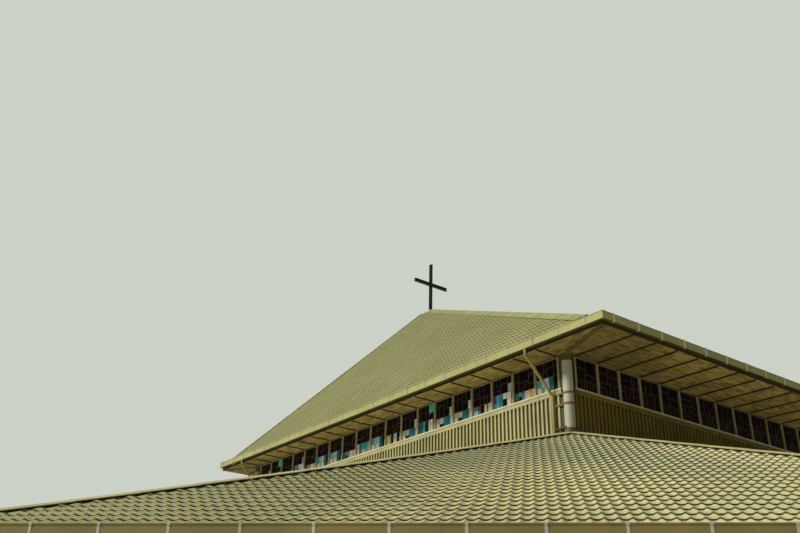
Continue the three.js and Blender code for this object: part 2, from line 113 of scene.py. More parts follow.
# The hall's four eaves: direction, how far out, and how far the eave reaches either way.
HALL_EAVES = (
    (0.0, HALL_EAVE_HALF, FRONT_EAVE, BACK_EAVE),
    (QUARTER, BACK_EAVE, HALL_EAVE_HALF, HALL_EAVE_HALF),
    (2 * QUARTER, HALL_EAVE_HALF, BACK_EAVE, FRONT_EAVE),
    (3 * QUARTER, FRONT_EAVE, HALL_EAVE_HALF, HALL_EAVE_HALF),
)
GUTTER_WIDTH = 0.125 * REAL
BETWEEN_COLUMNS = HALF_HALL - 0.24 * REAL
SKIRT_WALL_IN = 0.9 * REAL
print("ridge at", round(RIDGE, 3), "m; skirt eaves at", round(EAVE, 3), "m")

# %% [markdown]
# The photographer stood on the ground behind the building, close to one corner, and tipped the
# camera up by 26 degrees. The three rows below are the camera's right, up and backward directions.

# %% Camera
CAMERA_PLACE = (13.4735, 12.7351, 0.7978)
CAMERA_AXES = Matrix((
    (-0.804311, 0.593669, 0.025171),
    (0.282117, 0.344252, 0.895490),
    (0.522959, 0.727359, -0.444370),
)).transposed()
scene = bpy.context.scene
camera = bpy.data.objects.new("camera", bpy.data.cameras.new("camera"))
scene.collection.objects.link(camera)
camera.data.lens = 38.65
camera.data.sensor_width = 36
camera.data.clip_end = 400
camera.matrix_world = Matrix.Translation(CAMERA_PLACE) @ CAMERA_AXES.to_4x4()
scene.camera = camera
print("camera", [round(c, 2) for c in camera.location])

# %% [markdown]
# Light comes from a broad sun on the right, a little toward the front, so that the back of the
# building lies in shade, as on the day. A weaker, even surround fills the shadows. What the camera
# sees behind the building is a plain pale backdrop, which gives no light. The floor is plain and
# pale too.

# %% Light and floor
SUN_DIRECTION = Vector((0.70, -0.31, 0.70))
FLOOR_HALF = 90
scene.view_settings.view_transform = "Standard"
world = bpy.data.worlds.new("surround")
scene.world = world
world.use_nodes = True
tree = world.node_tree
light, backdrop = tree.nodes["Background"], tree.nodes.new("ShaderNodeBackground")
light.inputs["Color"].default_value = (0.64, 0.66, 0.53, 1)
light.inputs["Strength"].default_value = 0.23
backdrop.inputs["Color"].default_value = (0.60, 0.64, 0.57, 1)
choice, ray = tree.nodes.new("ShaderNodeMixShader"), tree.nodes.new("ShaderNodeLightPath")
tree.links.new(ray.outputs["Is Camera Ray"], choice.inputs[0])
tree.links.new(light.outputs[0], choice.inputs[1])
tree.links.new(backdrop.outputs[0], choice.inputs[2])
tree.links.new(choice.outputs[0], tree.nodes["World Output"].inputs["Surface"])
sun = bpy.data.objects.new("sun", bpy.data.lights.new("sun", "SUN"))
scene.collection.objects.link(sun)
sun.data.energy = 4.0
sun.data.angle = math.radians(14)
sun.data.color = (1.0, 0.97, 0.84)
sun.matrix_world = SUN_DIRECTION.to_track_quat("Z", "Y").to_matrix().to_4x4()
floor = bpy.data.objects.new("floor", bpy.data.meshes.new("floor"))
scene.collection.objects.link(floor)
corners = [(x * FLOOR_HALF, y * FLOOR_HALF, 0) for x, y in ((-1, -1), (1, -1), (1, 1), (-1, 1))]
floor.data.from_pydata(corners, [], [(0, 1, 2, 3)])
floor_paint = bpy.data.materials.new("floor_paint")
floor_paint.use_nodes = True
paint = floor_paint.node_tree.nodes["Principled BSDF"].inputs
paint["Base Color"].default_value = (0.62, 0.61, 0.58, 1)
paint["Roughness"].default_value = 0.9
floor.data.materials.append(floor_paint)
print("sun, surround and floor are set")

# %% [markdown]
# Node trees are long to write by hand. This small helper adds a node, sets its properties, and
# either links or sets each input, so that a tree reads like a recipe. The nodes used most often
# have a short word of their own.

# %% A helper for node trees
class Recipe:
    def __init__(self, tree):
        self.tree = tree

    def add(self, kind, inputs=(), **settings):
        node = self.tree.nodes.new(kind)
        for name, value in settings.items():
            setattr(node, name, value)
        for key, value in dict(inputs).items():
            self.put(node.inputs[key], value)
        return node

    def put(self, socket, value):
        if isinstance(value, bpy.types.NodeSocket):
            self.tree.links.new(value, socket)
        else:
            socket.default_value = value

    def math(self, operation, *values):
        return self.add("ShaderNodeMath", enumerate(values), operation=operation).outputs[0]

    def plus(self, first, second):
        return self.math("ADD", first, second)

    def minus(self, first, second):
        return self.math("SUBTRACT", first, second)

    def times(self, first, second):
        return self.math("MULTIPLY", first, second)

    def larger(self, first, second):
        return self.math("MAXIMUM", first, second)

    def ramp(self, value, low, high, to_low=0.0, to_high=1.0):
        """A soft step: to_low below low, to_high above high."""
        inputs = {0: value, 1: low, 2: high, 3: to_low, 4: to_high}
        return self.add("ShaderNodeMapRange", inputs, interpolation_type="SMOOTHSTEP").outputs[0]

    def mix(self, factor, first, second, blend="MIX"):
        inputs = {0: factor, 6: first, 7: second}
        node = self.add("ShaderNodeMix", inputs, data_type="RGBA", blend_type=blend)
        return node.outputs[2]

    def noise(self, vector, scale, detail=4.0, rough=0.55):
        inputs = {"Vector": vector, "Scale": scale, "Detail": detail, "Roughness": rough}
        return self.add("ShaderNodeTexNoise", inputs).outputs["Fac"]

    def stretched(self, vector, scale):
        return self.add("ShaderNodeMapping", {"Vector": vector, "Scale": scale}).outputs[0]

    def vector(self, operation, *values, output="Vector"):
        node = self.add("ShaderNodeVectorMath", enumerate(values), operation=operation)
        return node.outputs[output]

    def scaled(self, color, factor):
        inputs = {0: color, "Scale": factor}
        return self.add("ShaderNodeVectorMath", inputs, operation="SCALE").outputs[0]

    def place(self):
        return self.add("ShaderNodeTexCoord").outputs["Object"]

    def normal(self):
        return self.add("ShaderNodeNewGeometry").outputs["True Normal"]

    def axis(self, vector, number):
        return self.add("ShaderNodeSeparateXYZ", {0: vector}).outputs[number]

    def attribute(self, name, output):
        return self.add("ShaderNodeAttribute", attribute_name=name).outputs[output]


def new_group(name, kind, inputs, outputs):
    tree = bpy.data.node_groups.new(name, kind)
    for socket_name, socket_type, value in inputs:
        socket = tree.interface.new_socket(socket_name, in_out="INPUT", socket_type=socket_type)
        if value is not None:
            socket.default_value = value
    for socket_name, socket_type in outputs:
        tree.interface.new_socket(socket_name, in_out="OUTPUT", socket_type=socket_type)
    recipe = Recipe(tree)
    return recipe, recipe.add("NodeGroupInput").outputs, recipe.add("NodeGroupOutput").inputs


print("node helper ready")

# %% [markdown]
# No surface here is one flat colour. One shader group, Weathering, gives every painted
# surface the same kinds of change: broad sun-bleached and mossy patches, fine grain, and dirt that
# runs down in streaks. It also paints shade: a dark olive tint on the hall's back wall and on every
# face turned to the back, such as each rib's back. It puts out a colour, a roughness and a height,
# and each material sets its strengths.

# %% Weathering group
DIRT = (0.09, 0.08, 0.05, 1)
# The tint of the painted shade that darkens the back of the building.
BACK_SHADE_TINT = (0.44, 0.345, 0.058, 1)
recipe, given, result = new_group(
    "Weathering", "ShaderNodeTree",
    [
        ("Color", "NodeSocketColor", (0.5, 0.5, 0.5, 1)), ("Dirt", "NodeSocketColor", DIRT),
        ("Patch Size", "NodeSocketFloat", 0.6), ("Patch Strength", "NodeSocketFloat", 0.2),
        ("Streak Strength", "NodeSocketFloat", 0.2), ("Grain Strength", "NodeSocketFloat", 0.1),
        ("Grain Size", "NodeSocketFloat", 0.01), ("Roughness", "NodeSocketFloat", 0.6),
        ("Back Shade", "NodeSocketFloat", 0.0),
    ],
    [("Color", "NodeSocketColor"), ("Roughness", "NodeSocketFloat"), ("Height", "NodeSocketFloat")],
)
place = recipe.place()
patches = recipe.noise(place, recipe.math("DIVIDE", 1.0, given["Patch Size"]), 5.0, 0.6)
patches = recipe.ramp(patches, 0.35, 0.68)
streaks = recipe.noise(recipe.stretched(place, (9.0, 9.0, 0.8)), 2.2, 4.0, 0.6)
streaks = recipe.ramp(streaks, 0.48, 0.74)
grain = recipe.noise(place, recipe.math("DIVIDE", 1.0, given["Grain Size"]), 3.0, 0.7)
dirt = recipe.times(streaks, given["Streak Strength"])
shade = recipe.times(recipe.minus(patches, 0.5), given["Patch Strength"])
speck = recipe.times(recipe.minus(grain, 0.5), given["Grain Strength"])
level = recipe.plus(recipe.plus(shade, speck), 1.0)
dirty = recipe.mix(dirt, recipe.scaled(given["Color"], level), given["Dirt"])
# Painted shade: faces turned to the back, and all beyond the hall's back wall, take a dark olive
# tint.
facing_back = recipe.ramp(recipe.axis(recipe.normal(), 1), 0.5, 0.9)
behind = recipe.math("GREATER_THAN", recipe.axis(place, 1), HALF_HALL - 0.005)
film = recipe.times(recipe.larger(facing_back, behind), given["Back Shade"])
filmed = recipe.mix(1.0, dirty, BACK_SHADE_TINT, "MULTIPLY")
recipe.put(result["Color"], recipe.mix(film, dirty, filmed))
rough = recipe.plus(given["Roughness"], recipe.times(dirt, 0.5))
recipe.put(result["Roughness"], recipe.plus(rough, recipe.times(speck, 0.5)))
recipe.put(result["Height"], grain)
WEATHERING = recipe.tree
print("group", WEATHERING.name, "has", len(WEATHERING.nodes), "nodes")

# %% [markdown]
# Every material starts from the same function: a Principled shader fed by Weathering. What is
# special to a finish, such as the dark line under each tile's nose, is then mixed in.

# %% A base for all materials
def painted(name, color, rough=0.6, patch=(0.8, 0.25), streak=0.15, grain=(0.006, 0.15),
            bump=0.1, metallic=0.0, specular=0.4, film=0.0):
    """A weathered material; patch and grain are each a size in metres and a strength; the last
    argument sets the painted shade on the back.
    """
    material = bpy.data.materials.new(name)
    material.use_nodes = True
    recipe = Recipe(material.node_tree)
    shader = material.node_tree.nodes["Principled BSDF"]
    values = {
        "Color": (*color, 1), "Patch Size": patch[0], "Patch Strength": patch[1],
        "Streak Strength": streak, "Grain Size": grain[0], "Grain Strength": grain[1],
        "Roughness": rough, "Back Shade": film,
    }
    weather = recipe.add("ShaderNodeGroup", node_tree=WEATHERING)
    for key, value in values.items():
        weather.inputs[key].default_value = value
    recipe.put(shader.inputs["Base Color"], weather.outputs["Color"])
    recipe.put(shader.inputs["Roughness"], weather.outputs["Roughness"])
    shader.inputs["Metallic"].default_value = metallic
    shader.inputs["Specular IOR Level"].default_value = specular
    relief = {"Height": weather.outputs["Height"], "Strength": bump, "Distance": grain[0]}
    recipe.put(shader.inputs["Normal"], recipe.add("ShaderNodeBump", relief).outputs[0])
    return material, recipe, shader, weather


print("base material ready")

# %% [markdown]
# The roof is covered with pressed-metal tile sheets, painted and coated with stone grains. Each
# sheet is one course high, with a nose bent down along its front edge. The lower part of each nose
# is painted dark, as the shade of the gap under it, which draws the scalloped lines of the roof,
# and painted shade darkens each course's top just under the next nose. The strip's own UV map says
# where the nose is: V is below 0 on the nose and above 0 on the top. U counts the waves, so its
# cosine tells crests from pans, where the painted shade line is taller. It is taller too toward
# the front right, the mossy side. Sheets lap every seven waves, and the laps are staggered from
# course to course.

# %% Tile finish
PINK_STAIN = (0.52, 0.37, 0.22, 1)
RUST = (0.12, 0.06, 0.025, 1)
# The dark of the painted shade under the noses, also used for the lap lines.
NOSE_SHADE_AND_LAP_DARK = (0.042, 0.036, 0.011, 1)
SHEET_WAVES = 7.0


def tile_finish(name, color, moss_color, upper_tint_color, line, spread):
    """Coated tile steel; line scales the painted shade, the laps and the pale upper tint; spread
    how much single tiles differ.
    """
    material, recipe, shader, weather = painted(
        name, color, rough=0.78, patch=(1.6, 0.22), streak=0.0, grain=(0.012, 0.5), bump=0.25,
    )
    sheet = recipe.add("ShaderNodeUVMap", uv_map="sheet").outputs[0]
    across, along = recipe.axis(sheet, 0), recipe.axis(sheet, 1)
    course = recipe.attribute("row", "Fac")
    place = recipe.place()
    # Moss toward the front right corner, pink and rusty stains, and a pale tint higher up.
    drift = recipe.vector("DOT_PRODUCT", place, (0.015, -0.015, 0.0), output="Value")
    moss = recipe.ramp(recipe.plus(recipe.noise(place, 0.35, 3.0), drift), 0.42, 0.62)
    skin = recipe.mix(recipe.times(moss, 0.5), weather.outputs["Color"], (*moss_color, 1))
    pink = recipe.ramp(recipe.noise(place, 2.6, 2.0), 0.62, 0.74)
    skin = recipe.mix(recipe.times(pink, 0.35), skin, PINK_STAIN)
    rust = recipe.ramp(recipe.noise(place, 1.9, 6.0, 0.7), 0.68, 0.74)
    skin = recipe.mix(recipe.times(rust, 0.8), skin, RUST)
    upper_tint = recipe.ramp(recipe.noise(place, 0.8, 3.0), 0.40, 0.62, 0.15, 0.65)
    upper_tint = recipe.times(upper_tint, recipe.ramp(recipe.axis(place, 2), 2.2, 3.9))
    skin = recipe.mix(recipe.times(upper_tint, line), skin, (*upper_tint_color, 1))
    # Each tile, one wave of one course, is a little lighter or darker than the next.
    tile = {0: recipe.math("FLOOR", across), 1: course}
    cell = recipe.add("ShaderNodeCombineXYZ", tile).outputs[0]
    dice = recipe.add("ShaderNodeTexWhiteNoise", {"Vector": cell}, noise_dimensions="2D")
    tone = recipe.times(recipe.minus(dice.outputs["Value"], 0.5), spread)
    skin = recipe.scaled(skin, recipe.plus(1.0, tone))
    # Painted shade under each nose, with a ragged edge, and on each course's top just under the
    # next nose; the lowest course is painted dark to its foot, as shade where it is open over the
    # gutter.
    under = recipe.ramp(along, 0.90, 1.0, 0.0, 0.6)
    wobble = recipe.times(recipe.minus(recipe.noise(place, 9.0, 5.0, 0.7), 0.5), 1.1)
    phase = recipe.times(recipe.math("COSINE", recipe.times(across, math.tau)), 0.2)
    # The painted shade lines grow taller toward the front right corner.
    deeper_corner_shade = recipe.ramp(drift, 0.02, 0.08, 0.0, 0.22)
    nose = recipe.minus(recipe.plus(recipe.plus(along, wobble), phase), deeper_corner_shade)
    foot = recipe.ramp(nose, -0.25, -0.1, 1.0, 0.0)
    open_foot_shade = recipe.times(recipe.math("LESS_THAN", course, 0.5), foot)
    nose_shade_line = recipe.larger(recipe.ramp(nose, -0.57, -0.38, 1.0, 0.0), open_foot_shade)
    # The thin line where one sheet laps over the next.
    stagger = recipe.times(recipe.math("MODULO", course, 2.0), SHEET_WAVES / 2)
    lap_at = recipe.math("DIVIDE", recipe.plus(across, stagger), SHEET_WAVES)
    lap = recipe.math("LESS_THAN", recipe.math("FRACT", lap_at), 0.011)
    dark = recipe.larger(recipe.larger(under, nose_shade_line), recipe.times(lap, 0.7))
    dark = recipe.times(dark, line)
    recipe.put(shader.inputs["Base Color"], recipe.mix(dark, skin, NOSE_SHADE_AND_LAP_DARK))
    return material


skirt_skin = tile_finish(
    "skirt_skin", (0.525, 0.49, 0.275), moss_color=(0.34, 0.365, 0.19),
    upper_tint_color=(0.40, 0.44, 0.34), line=1.0, spread=0.12,
)
# The hall's tiles are the same sheets painted darker, as painted shade, so that the steep roof,
# which takes more sun, looks no brighter than the skirt.
hall_skin = tile_finish(
    "hall_skin", (0.275, 0.27, 0.128), moss_color=(0.205, 0.225, 0.10),
    upper_tint_color=(0.28, 0.285, 0.135), line=0.5, spread=0.7,
)
print("tile finishes read the sheet UV map and the row attribute")

# %% Metal, timber and plaster finishes
def plain(name, color, **finish):
    return painted(name, color, **finish)[0]


folded = {"rough": 0.5, "streak": 0.12, "patch": (0.5, 0.2)}
flashing_metal = plain("flashing_metal", (0.46, 0.43, 0.22), **folded)
cap_metal = plain("cap_metal", (0.295, 0.29, 0.135), **folded)
bracket_metal = plain("bracket_metal", (0.50, 0.50, 0.44), rough=0.45, metallic=0.2, streak=0.3)
# One strap paint in two tones: a darker one for the sunlit side eaves, and a pale one, painted
# light, for the back and front eaves, so that the straps in the back's shade show bright.
clip_metal = plain("clip_metal", (0.27, 0.26, 0.24), rough=0.5, streak=0.4)
pale_clip_painted_light = plain("pale_clip_painted_light", (0.85, 0.86, 0.74), rough=0.5, streak=0.2)
cladding_metal = plain(
    "cladding_metal", (0.37, 0.355, 0.175), rough=0.5, streak=0.35, patch=(0.5, 0.3), film=1.0,
)
# The grooves' paint is the ribs' paint made near-black, as painted shade; the walls behind the ribs
# take it too.
groove_shade_metal = plain("groove_shade_metal", (0.058, 0.053, 0.017), rough=0.6, streak=0.1, film=1.0)
fin_paint = plain("fin_paint", (0.34, 0.315, 0.185), rough=0.5, streak=0.3)
sill_metal = plain("sill_metal", (0.50, 0.48, 0.34), rough=0.5, streak=0.3)
head_timber = plain("head_timber", (0.17, 0.13, 0.055), rough=0.7, streak=0.3)
shadow_strip = plain("shadow_strip", (0.012, 0.012, 0.004), rough=0.9)
# Batten timber is near-black, partly as painted shade; the CAD soffit slabs take it too, as painted
# shade between the boards.
batten_timber = plain("batten_timber", (0.030, 0.023, 0.002), rough=0.8)
column_paint = plain(
    "column_paint", (0.42, 0.425, 0.345), rough=0.42, streak=0.18, patch=(0.4, 0.15),
)
collar_paint = plain("collar_paint", (0.10, 0.075, 0.03), rough=0.6)
foot_paint = plain("foot_paint", (0.045, 0.035, 0.015), rough=0.7)
band_metal = plain("band_metal", (0.13, 0.095, 0.045), rough=0.5)
pipe_paint = plain("pipe_paint", (0.30, 0.255, 0.095), rough=0.45, streak=0.25)
cross_steel = plain("cross_steel", (0.028, 0.04, 0.03), rough=0.45, metallic=0.4, streak=0.1)
lead_came = plain("lead_came", (0.13, 0.10, 0.10), rough=0.6)
wall_plaster = plain("wall_plaster", (0.58, 0.54, 0.38), rough=0.9, grain=(0.02, 0.3), bump=0.3)
slab_concrete = plain("slab_concrete", (0.34, 0.32, 0.28), rough=0.85, grain=(0.02, 0.3))
deck_board = plain("deck_board", (0.28, 0.22, 0.12), rough=0.85, grain=(0.02, 0.4))
frame_aluminium = plain("frame_aluminium", (0.42, 0.40, 0.33), rough=0.4, metallic=0.5)
print("materials so far:", len(bpy.data.materials))

# %% [markdown]
# A box gutter keeps its colour on its face, but one side of it is painted dark as shade: the upper
# gutter's underside, and the low gutter's sunlit lip, painted dark so that it looks no brighter
# than the face. The face normal tells them apart.

# %% Gutter finish
GUTTER_PAINTED_SHADE = (0.075, 0.070, 0.013, 1)


def gutter_finish(name, color, shaded_side, share, **finish):
    """Paint darkened as painted shade on faces that point down (side -1) or up (side 1)."""
    material, recipe, shader, weather = painted(name, color, **finish)
    toward = recipe.times(recipe.axis(recipe.normal(), 2), shaded_side)
    dark = recipe.ramp(toward, 0.5, 0.9, 0.0, share)
    shaded_paint = recipe.mix(dark, weather.outputs["Color"], GUTTER_PAINTED_SHADE)
    recipe.put(shader.inputs["Base Color"], shaded_paint)
    return material


gutter_metal = gutter_finish(
    "gutter_metal", (0.375, 0.365, 0.165), -1, 0.85, rough=0.6, streak=0.18, patch=(0.7, 0.15),
    specular=0.15,
)
low_gutter_metal = gutter_finish(
    "low_gutter_metal", (0.22, 0.175, 0.055), 1, 1.0, rough=0.5, streak=0.1,
)
print("gutters are dark on one side")

# %% [markdown]
# Boards have a grain that runs one way. A noise stretched along the board makes it. Soffit boards
# run in eight directions, so each board carries its own coordinates in an attribute named local,
# and the noise is stretched there. Their colour is darkened close to the hall's corners, as
# painted shade, and lightened along the middle of the back and front, as painted light. The doors
# stand upright, so object coordinates serve them.

# %% Timber with a direction
def grained(name, color, dark, stretch, local):
    """Timber with streaky fibres; local boards are soffit boards, with their painted shade and
    light.
    """
    material, recipe, shader, weather = painted(
        name, color, rough=0.75, streak=0.0, patch=(0.35, 0.3),
    )
    place = recipe.place()
    painted_light_and_shade = 1.0
    if local:
        # Painted shade near the hall's corners and painted light along the back and front.
        quarter = recipe.vector("ABSOLUTE", place)
        corner = (HALF_HALL, HALF_HALL + 0.55, HEAD)
        distance = recipe.vector("DISTANCE", quarter, corner, output="Value")
        corner_shade = recipe.ramp(distance, 0.4, 2.0, 0.6, 1.0)
        outward = recipe.minus(recipe.axis(quarter, 1), recipe.axis(quarter, 0))
        painted_light_and_shade = recipe.times(corner_shade, recipe.ramp(outward, 1.2, 3.0, 1.0, 1.55))
        place = recipe.attribute("local", "Vector")
    fibres = recipe.noise(recipe.stretched(place, stretch), 1.0, 6.0, 0.65)
    fibres = recipe.times(recipe.ramp(fibres, 0.44, 0.60), 0.8)
    streaky = recipe.mix(fibres, weather.outputs["Color"], (*dark, 1))
    recipe.put(shader.inputs["Base Color"], recipe.scaled(streaky, painted_light_and_shade))
    return material


soffit_timber = grained(
    "soffit_timber", (0.56, 0.42, 0.155), dark=(0.05, 0.03, 0.005), stretch=(4.0, 60, 60),
    local=True,
)
door_timber = grained(
    "door_timber", (0.22, 0.12, 0.055), dark=(0.09, 0.045, 0.02), stretch=(60, 60, 2.5),
    local=False,
)
print("timber finishes ready")

# %% [markdown]
# Leaded glass seen from outside by day is nearly black, and the pieces that catch the sky show
# their colour. Here that light is painted: each piece of glass carries its tint in a colour
# attribute, a noise mottles it as a painted reflection of the sky, and the same tint is emitted as
# a painted glow. The clear glass of the lower windows keeps a plain transmission.

# %% Glass
leaded_glass, recipe, shader, _ = painted(
    "leaded_glass", (0.02, 0.01, 0.015), rough=0.15, streak=0.0, grain=(0.03, 0.1), bump=0.4,
    specular=0.03,
)
# A noise mottles the tint as a painted reflection of the sky.
reflection_mottle = recipe.ramp(recipe.noise(recipe.place(), 6.0, 4.0), 0.3, 0.7, 0.7, 1.1)
lit = recipe.scaled(recipe.attribute("tint", "Color"), reflection_mottle)
recipe.put(shader.inputs["Base Color"], lit)
# Painted glow: the glass emits its tint, though it is no lamp.
recipe.put(shader.inputs["Emission Color"], lit)
shader.inputs["Emission Strength"].default_value = 0.45
clear_glass, _, shader, _ = painted("clear_glass", (0.30, 0.36, 0.34), rough=0.05, streak=0.05)
shader.inputs["Transmission Weight"].default_value = 0.7
print("glass ready")

# %% [markdown]
# Most of this building is one small thing repeated along a straight line: courses up a slope,
# ribs along a wall, clips along a gutter. Geometry Nodes do that with one short tree. It puts the
# modifier's own mesh on every point of a line, numbers the copies in an attribute named row, turns
# the instances into real faces, welds touching edges and sets the material.

# %% The row tree
recipe, given, result = new_group(
    "Row", "GeometryNodeTree",
    [
        ("Geometry", "NodeSocketGeometry", None), ("Count", "NodeSocketInt", 2),
        ("Step", "NodeSocketVector", (0.0, 0.0, 0.0)), ("Weld", "NodeSocketFloat", 0.0),
        ("Material", "NodeSocketMaterial", None),
    ],
    [("Geometry", "NodeSocketGeometry")],
)
line = recipe.add("GeometryNodeMeshLine", {"Count": given["Count"], "Offset": given["Step"]})
laid = {"Points": line.outputs[0], "Instance": given["Geometry"]}
copies = recipe.add("GeometryNodeInstanceOnPoints", laid)
number = recipe.add("GeometryNodeInputIndex").outputs[0]
store = {"Geometry": copies.outputs[0], "Name": "row", "Value": number}
named = recipe.add("GeometryNodeStoreNamedAttribute", store, data_type="FLOAT", domain="INSTANCE")
real = recipe.add("GeometryNodeRealizeInstances", {"Geometry": named.outputs[0]})
weld = {"Geometry": real.outputs[0], "Distance": given["Weld"]}
welded = recipe.add("GeometryNodeMergeByDistance", weld)
finish = {"Geometry": welded.outputs[0], "Material": given["Material"]}
recipe.put(result["Geometry"], recipe.add("GeometryNodeSetMaterial", finish).outputs[0])
ROW = recipe.tree


def grow(mesh, tree, values):
    """Runs a tree on a mesh and gives the result back as a plain mesh."""
    holder = bpy.data.objects.new("holder", mesh)
    scene.collection.objects.link(holder)
    modifier = holder.modifiers.new("grow", "NODES")
    modifier.node_group = tree
    for item in tree.interface.items_tree:
        if item.in_out == "INPUT" and item.name in values:
            modifier[item.identifier] = values[item.name]
    evaluated = holder.evaluated_get(bpy.context.evaluated_depsgraph_get())
    grown = bpy.data.meshes.new_from_object(evaluated)
    bpy.data.objects.remove(holder)
    return grown


def row(mesh, count, step, material, weld=0.0):
    return grow(mesh, ROW, {"Count": count, "Step": step, "Weld": weld, "Material": material})


print("tree", ROW.name, "ready")

# %% [markdown]
# Every face of the building gets the same kind of local frame: x runs along it, y runs up or
# outward in its plane, and z points out of it. A slope of 90 degrees is a wall and 180 degrees is
# a soffit seen from below, so one function serves roofs, walls and soffits.

# %% Frames and a mesh builder
def face_frame(turn, out, height, slope):
    outward = Vector((math.cos(turn), math.sin(turn), 0))
    up = Vector((0, 0, 1))
    along = Vector((-math.sin(turn), math.cos(turn), 0))
    climb = -math.cos(slope) * outward + math.sin(slope) * up
    normal = math.sin(slope) * outward + math.cos(slope) * up
    matrix = Matrix((along, climb, normal)).transposed().to_4x4()
    return Matrix.Translation(outward * out + up * height) @ matrix


WALL = math.radians(90)
SOFFIT = math.radians(180)


class Shape:
    """Collects closed solids and builds one mesh of them."""

    def __init__(self):
        self.points = []
        self.faces = []

    def loft(self, start, end):
        first = len(self.points)
        count = len(start)
        after = first + count
        self.points += [tuple(p) for p in start] + [tuple(p) for p in end]
        self.faces += [tuple(range(first, after)), tuple(range(after, after + count))]
        for i in range(count):
            j = (i + 1) % count
            self.faces.append((first + i, first + j, after + j, after + i))
        return self

    def prism(self, outline, low, high):
        """An outline of x, z points pushed along y."""
        return self.loft([(x, low, z) for x, z in outline], [(x, high, z) for x, z in outline])

    def block(self, x, y, z):
        outline = [(x[0], z[0]), (x[1], z[0]), (x[1], z[1]), (x[0], z[1])]
        return self.prism(outline, y[0], y[1])

    def mesh(self, material=None):
        mesh = bpy.data.meshes.new("shape")
        mesh.from_pydata(self.points, [], self.faces)
        form = bmesh.new()
        form.from_mesh(mesh)
        bmesh.ops.recalc_face_normals(form, faces=form.faces)
        form.to_mesh(mesh)
        form.free()
        if material:
            mesh.materials.append(material)
        return mesh


def piece(name, parts, replaces=(), smooth=None):
    """Joins meshes, each with its frame, into one finished object that rides on the building."""
    objects = []
    for mesh, place in parts:
        part = mesh.copy()
        part.transform(place)
        objects.append(bpy.data.objects.new(name, part))
        scene.collection.objects.link(objects[-1])
    if len(objects) > 1:
        with bpy.context.temp_override(active_object=objects[0], selected_editable_objects=objects):
            bpy.ops.object.join()
    made = objects[0]
    made.name = made.data.name = name
    if smooth is not None:
        made.data.shade_smooth()
        made.data.set_sharp_from_angle(angle=math.radians(smooth))
    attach(made, "root")
    if replaces:
        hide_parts(*replaces)
    made.data.calc_loop_triangles()
    print(f"{name}: {len(made.data.loop_triangles)} triangles")


HERE = Matrix.Identity(4)

# %% [markdown]
# Sheets, ribs and boards are laid a little too far and then cut along the hips, verges and mitres,
# as a roofer does it. An open sheet simply ends at the cut. A closed solid has its loose points
# merged first, and its cut end is filled again.

# %% Cutting by planes
MERGE = 0.00005


def trimmed(mesh, cuts, closed=True):
    """Cuts a mesh by planes, each a point and an outward normal."""
    form = bmesh.new()
    form.from_mesh(mesh)
    if closed:
        bmesh.ops.remove_doubles(form, verts=form.verts, dist=MERGE)
    for point, normal in cuts:
        cut = bmesh.ops.bisect_plane(
            form, geom=form.verts[:] + form.edges[:] + form.faces[:],
            plane_co=point, plane_no=normal, clear_outer=True,
        )
        if closed:
            edges = [e for e in cut["geom_cut"] if isinstance(e, bmesh.types.BMEdge)]
            bmesh.ops.holes_fill(form, edges=edges)
    form.to_mesh(mesh)
    form.free()
    return mesh


print("planes cut sheets and solids")

# %% [markdown]
# The tile sheet's wave has narrow crests and wide flat pans, 29 mm high and 180 mm apart. One
# course is a strip with three rows of points: the foot of the nose, the nose's edge, and the back,
# which lies 26 mm lower than the nose so that the next course can sit on it. Points crowd at the
# crests, where the sheet bends, and are far apart in the flat pans. Drawing the strip once and
# letting the row tree lay it up the slope is quicker and truer than a bump texture, because the
# camera looks almost along the roof.

# %% One course of tiles
WAVE = 0.18 * REAL
COURSE, HALL_COURSE = 0.413 * REAL, 0.347 * REAL
CREST = 0.029 * REAL
CREST_POWER = 2.2
NOSE = 0.026 * REAL
TILE_WELD = 0.0002
FINE = (0.0, 0.10, 0.20, 0.34, 0.66, 0.80, 0.90)
PLAIN = (0.0, 0.14, 0.30, 0.70, 0.86)


def course_strip(first, last, steps, depth):
    """A strip from wave number first to last, with points at the given steps of each wave."""
    mesh = bpy.data.meshes.new("course")
    columns = [wave + step for wave in range(first, last) for step in steps] + [last]
    points, faces, sheet = [], [], []
    for t in columns:
        crest = CREST * (0.5 + 0.5 * math.cos(2 * math.pi * t)) ** CREST_POWER
        x = t * WAVE
        points += [(x, 0, crest), (x, -0.1 * NOSE, crest + NOSE), (x, depth, crest)]
    for i in range(len(columns) - 1):
        a, b = 3 * i, 3 * i + 3
        faces += [(a, b, b + 1, a + 1), (a + 1, b + 1, b + 2, a + 2)]
        t, u = columns[i], columns[i + 1]
        sheet += [(t, -1), (u, -1), (u, 0), (t, 0), (t, 0), (u, 0), (u, 1), (t, 1)]
    mesh.from_pydata(points, [], faces)
    layer = mesh.uv_layers.new(name="sheet")
    for corner, value in zip(layer.data, sheet):
        corner.uv = value
    return mesh


def tile_field(low, high, length, steps, cuts, skin, depth=COURSE):
    """Courses from x = low to x = high, trimmed where each cut (point, outward normal) says."""
    strip = course_strip(math.floor(low / WAVE), math.ceil(high / WAVE), steps, depth)
    mesh = row(strip, math.ceil(length / depth), (0, depth, 0), skin, weld=TILE_WELD)
    return trimmed(mesh, cuts + [((0, length, 0), (0, 1, 0))], closed=False)


print("a course is", round(COURSE, 4), "m deep and a wave", WAVE, "m wide")

# %% [markdown]
# The skirt has eight faces but only two shapes: four straight ones and four diagonal ones. Each
# shape is laid once and turned into place four times. The sheets start in the gutter and are
# trimmed along the hips, where the caps will cover the cut edges. Long rafters sag, and a slope
# seen almost edge-on shows it: the courses look closer near the gutter and wider near the top.
# So everything that lies on the skirt is let down by a shallow curve, 5 cm deep at mid-slope.

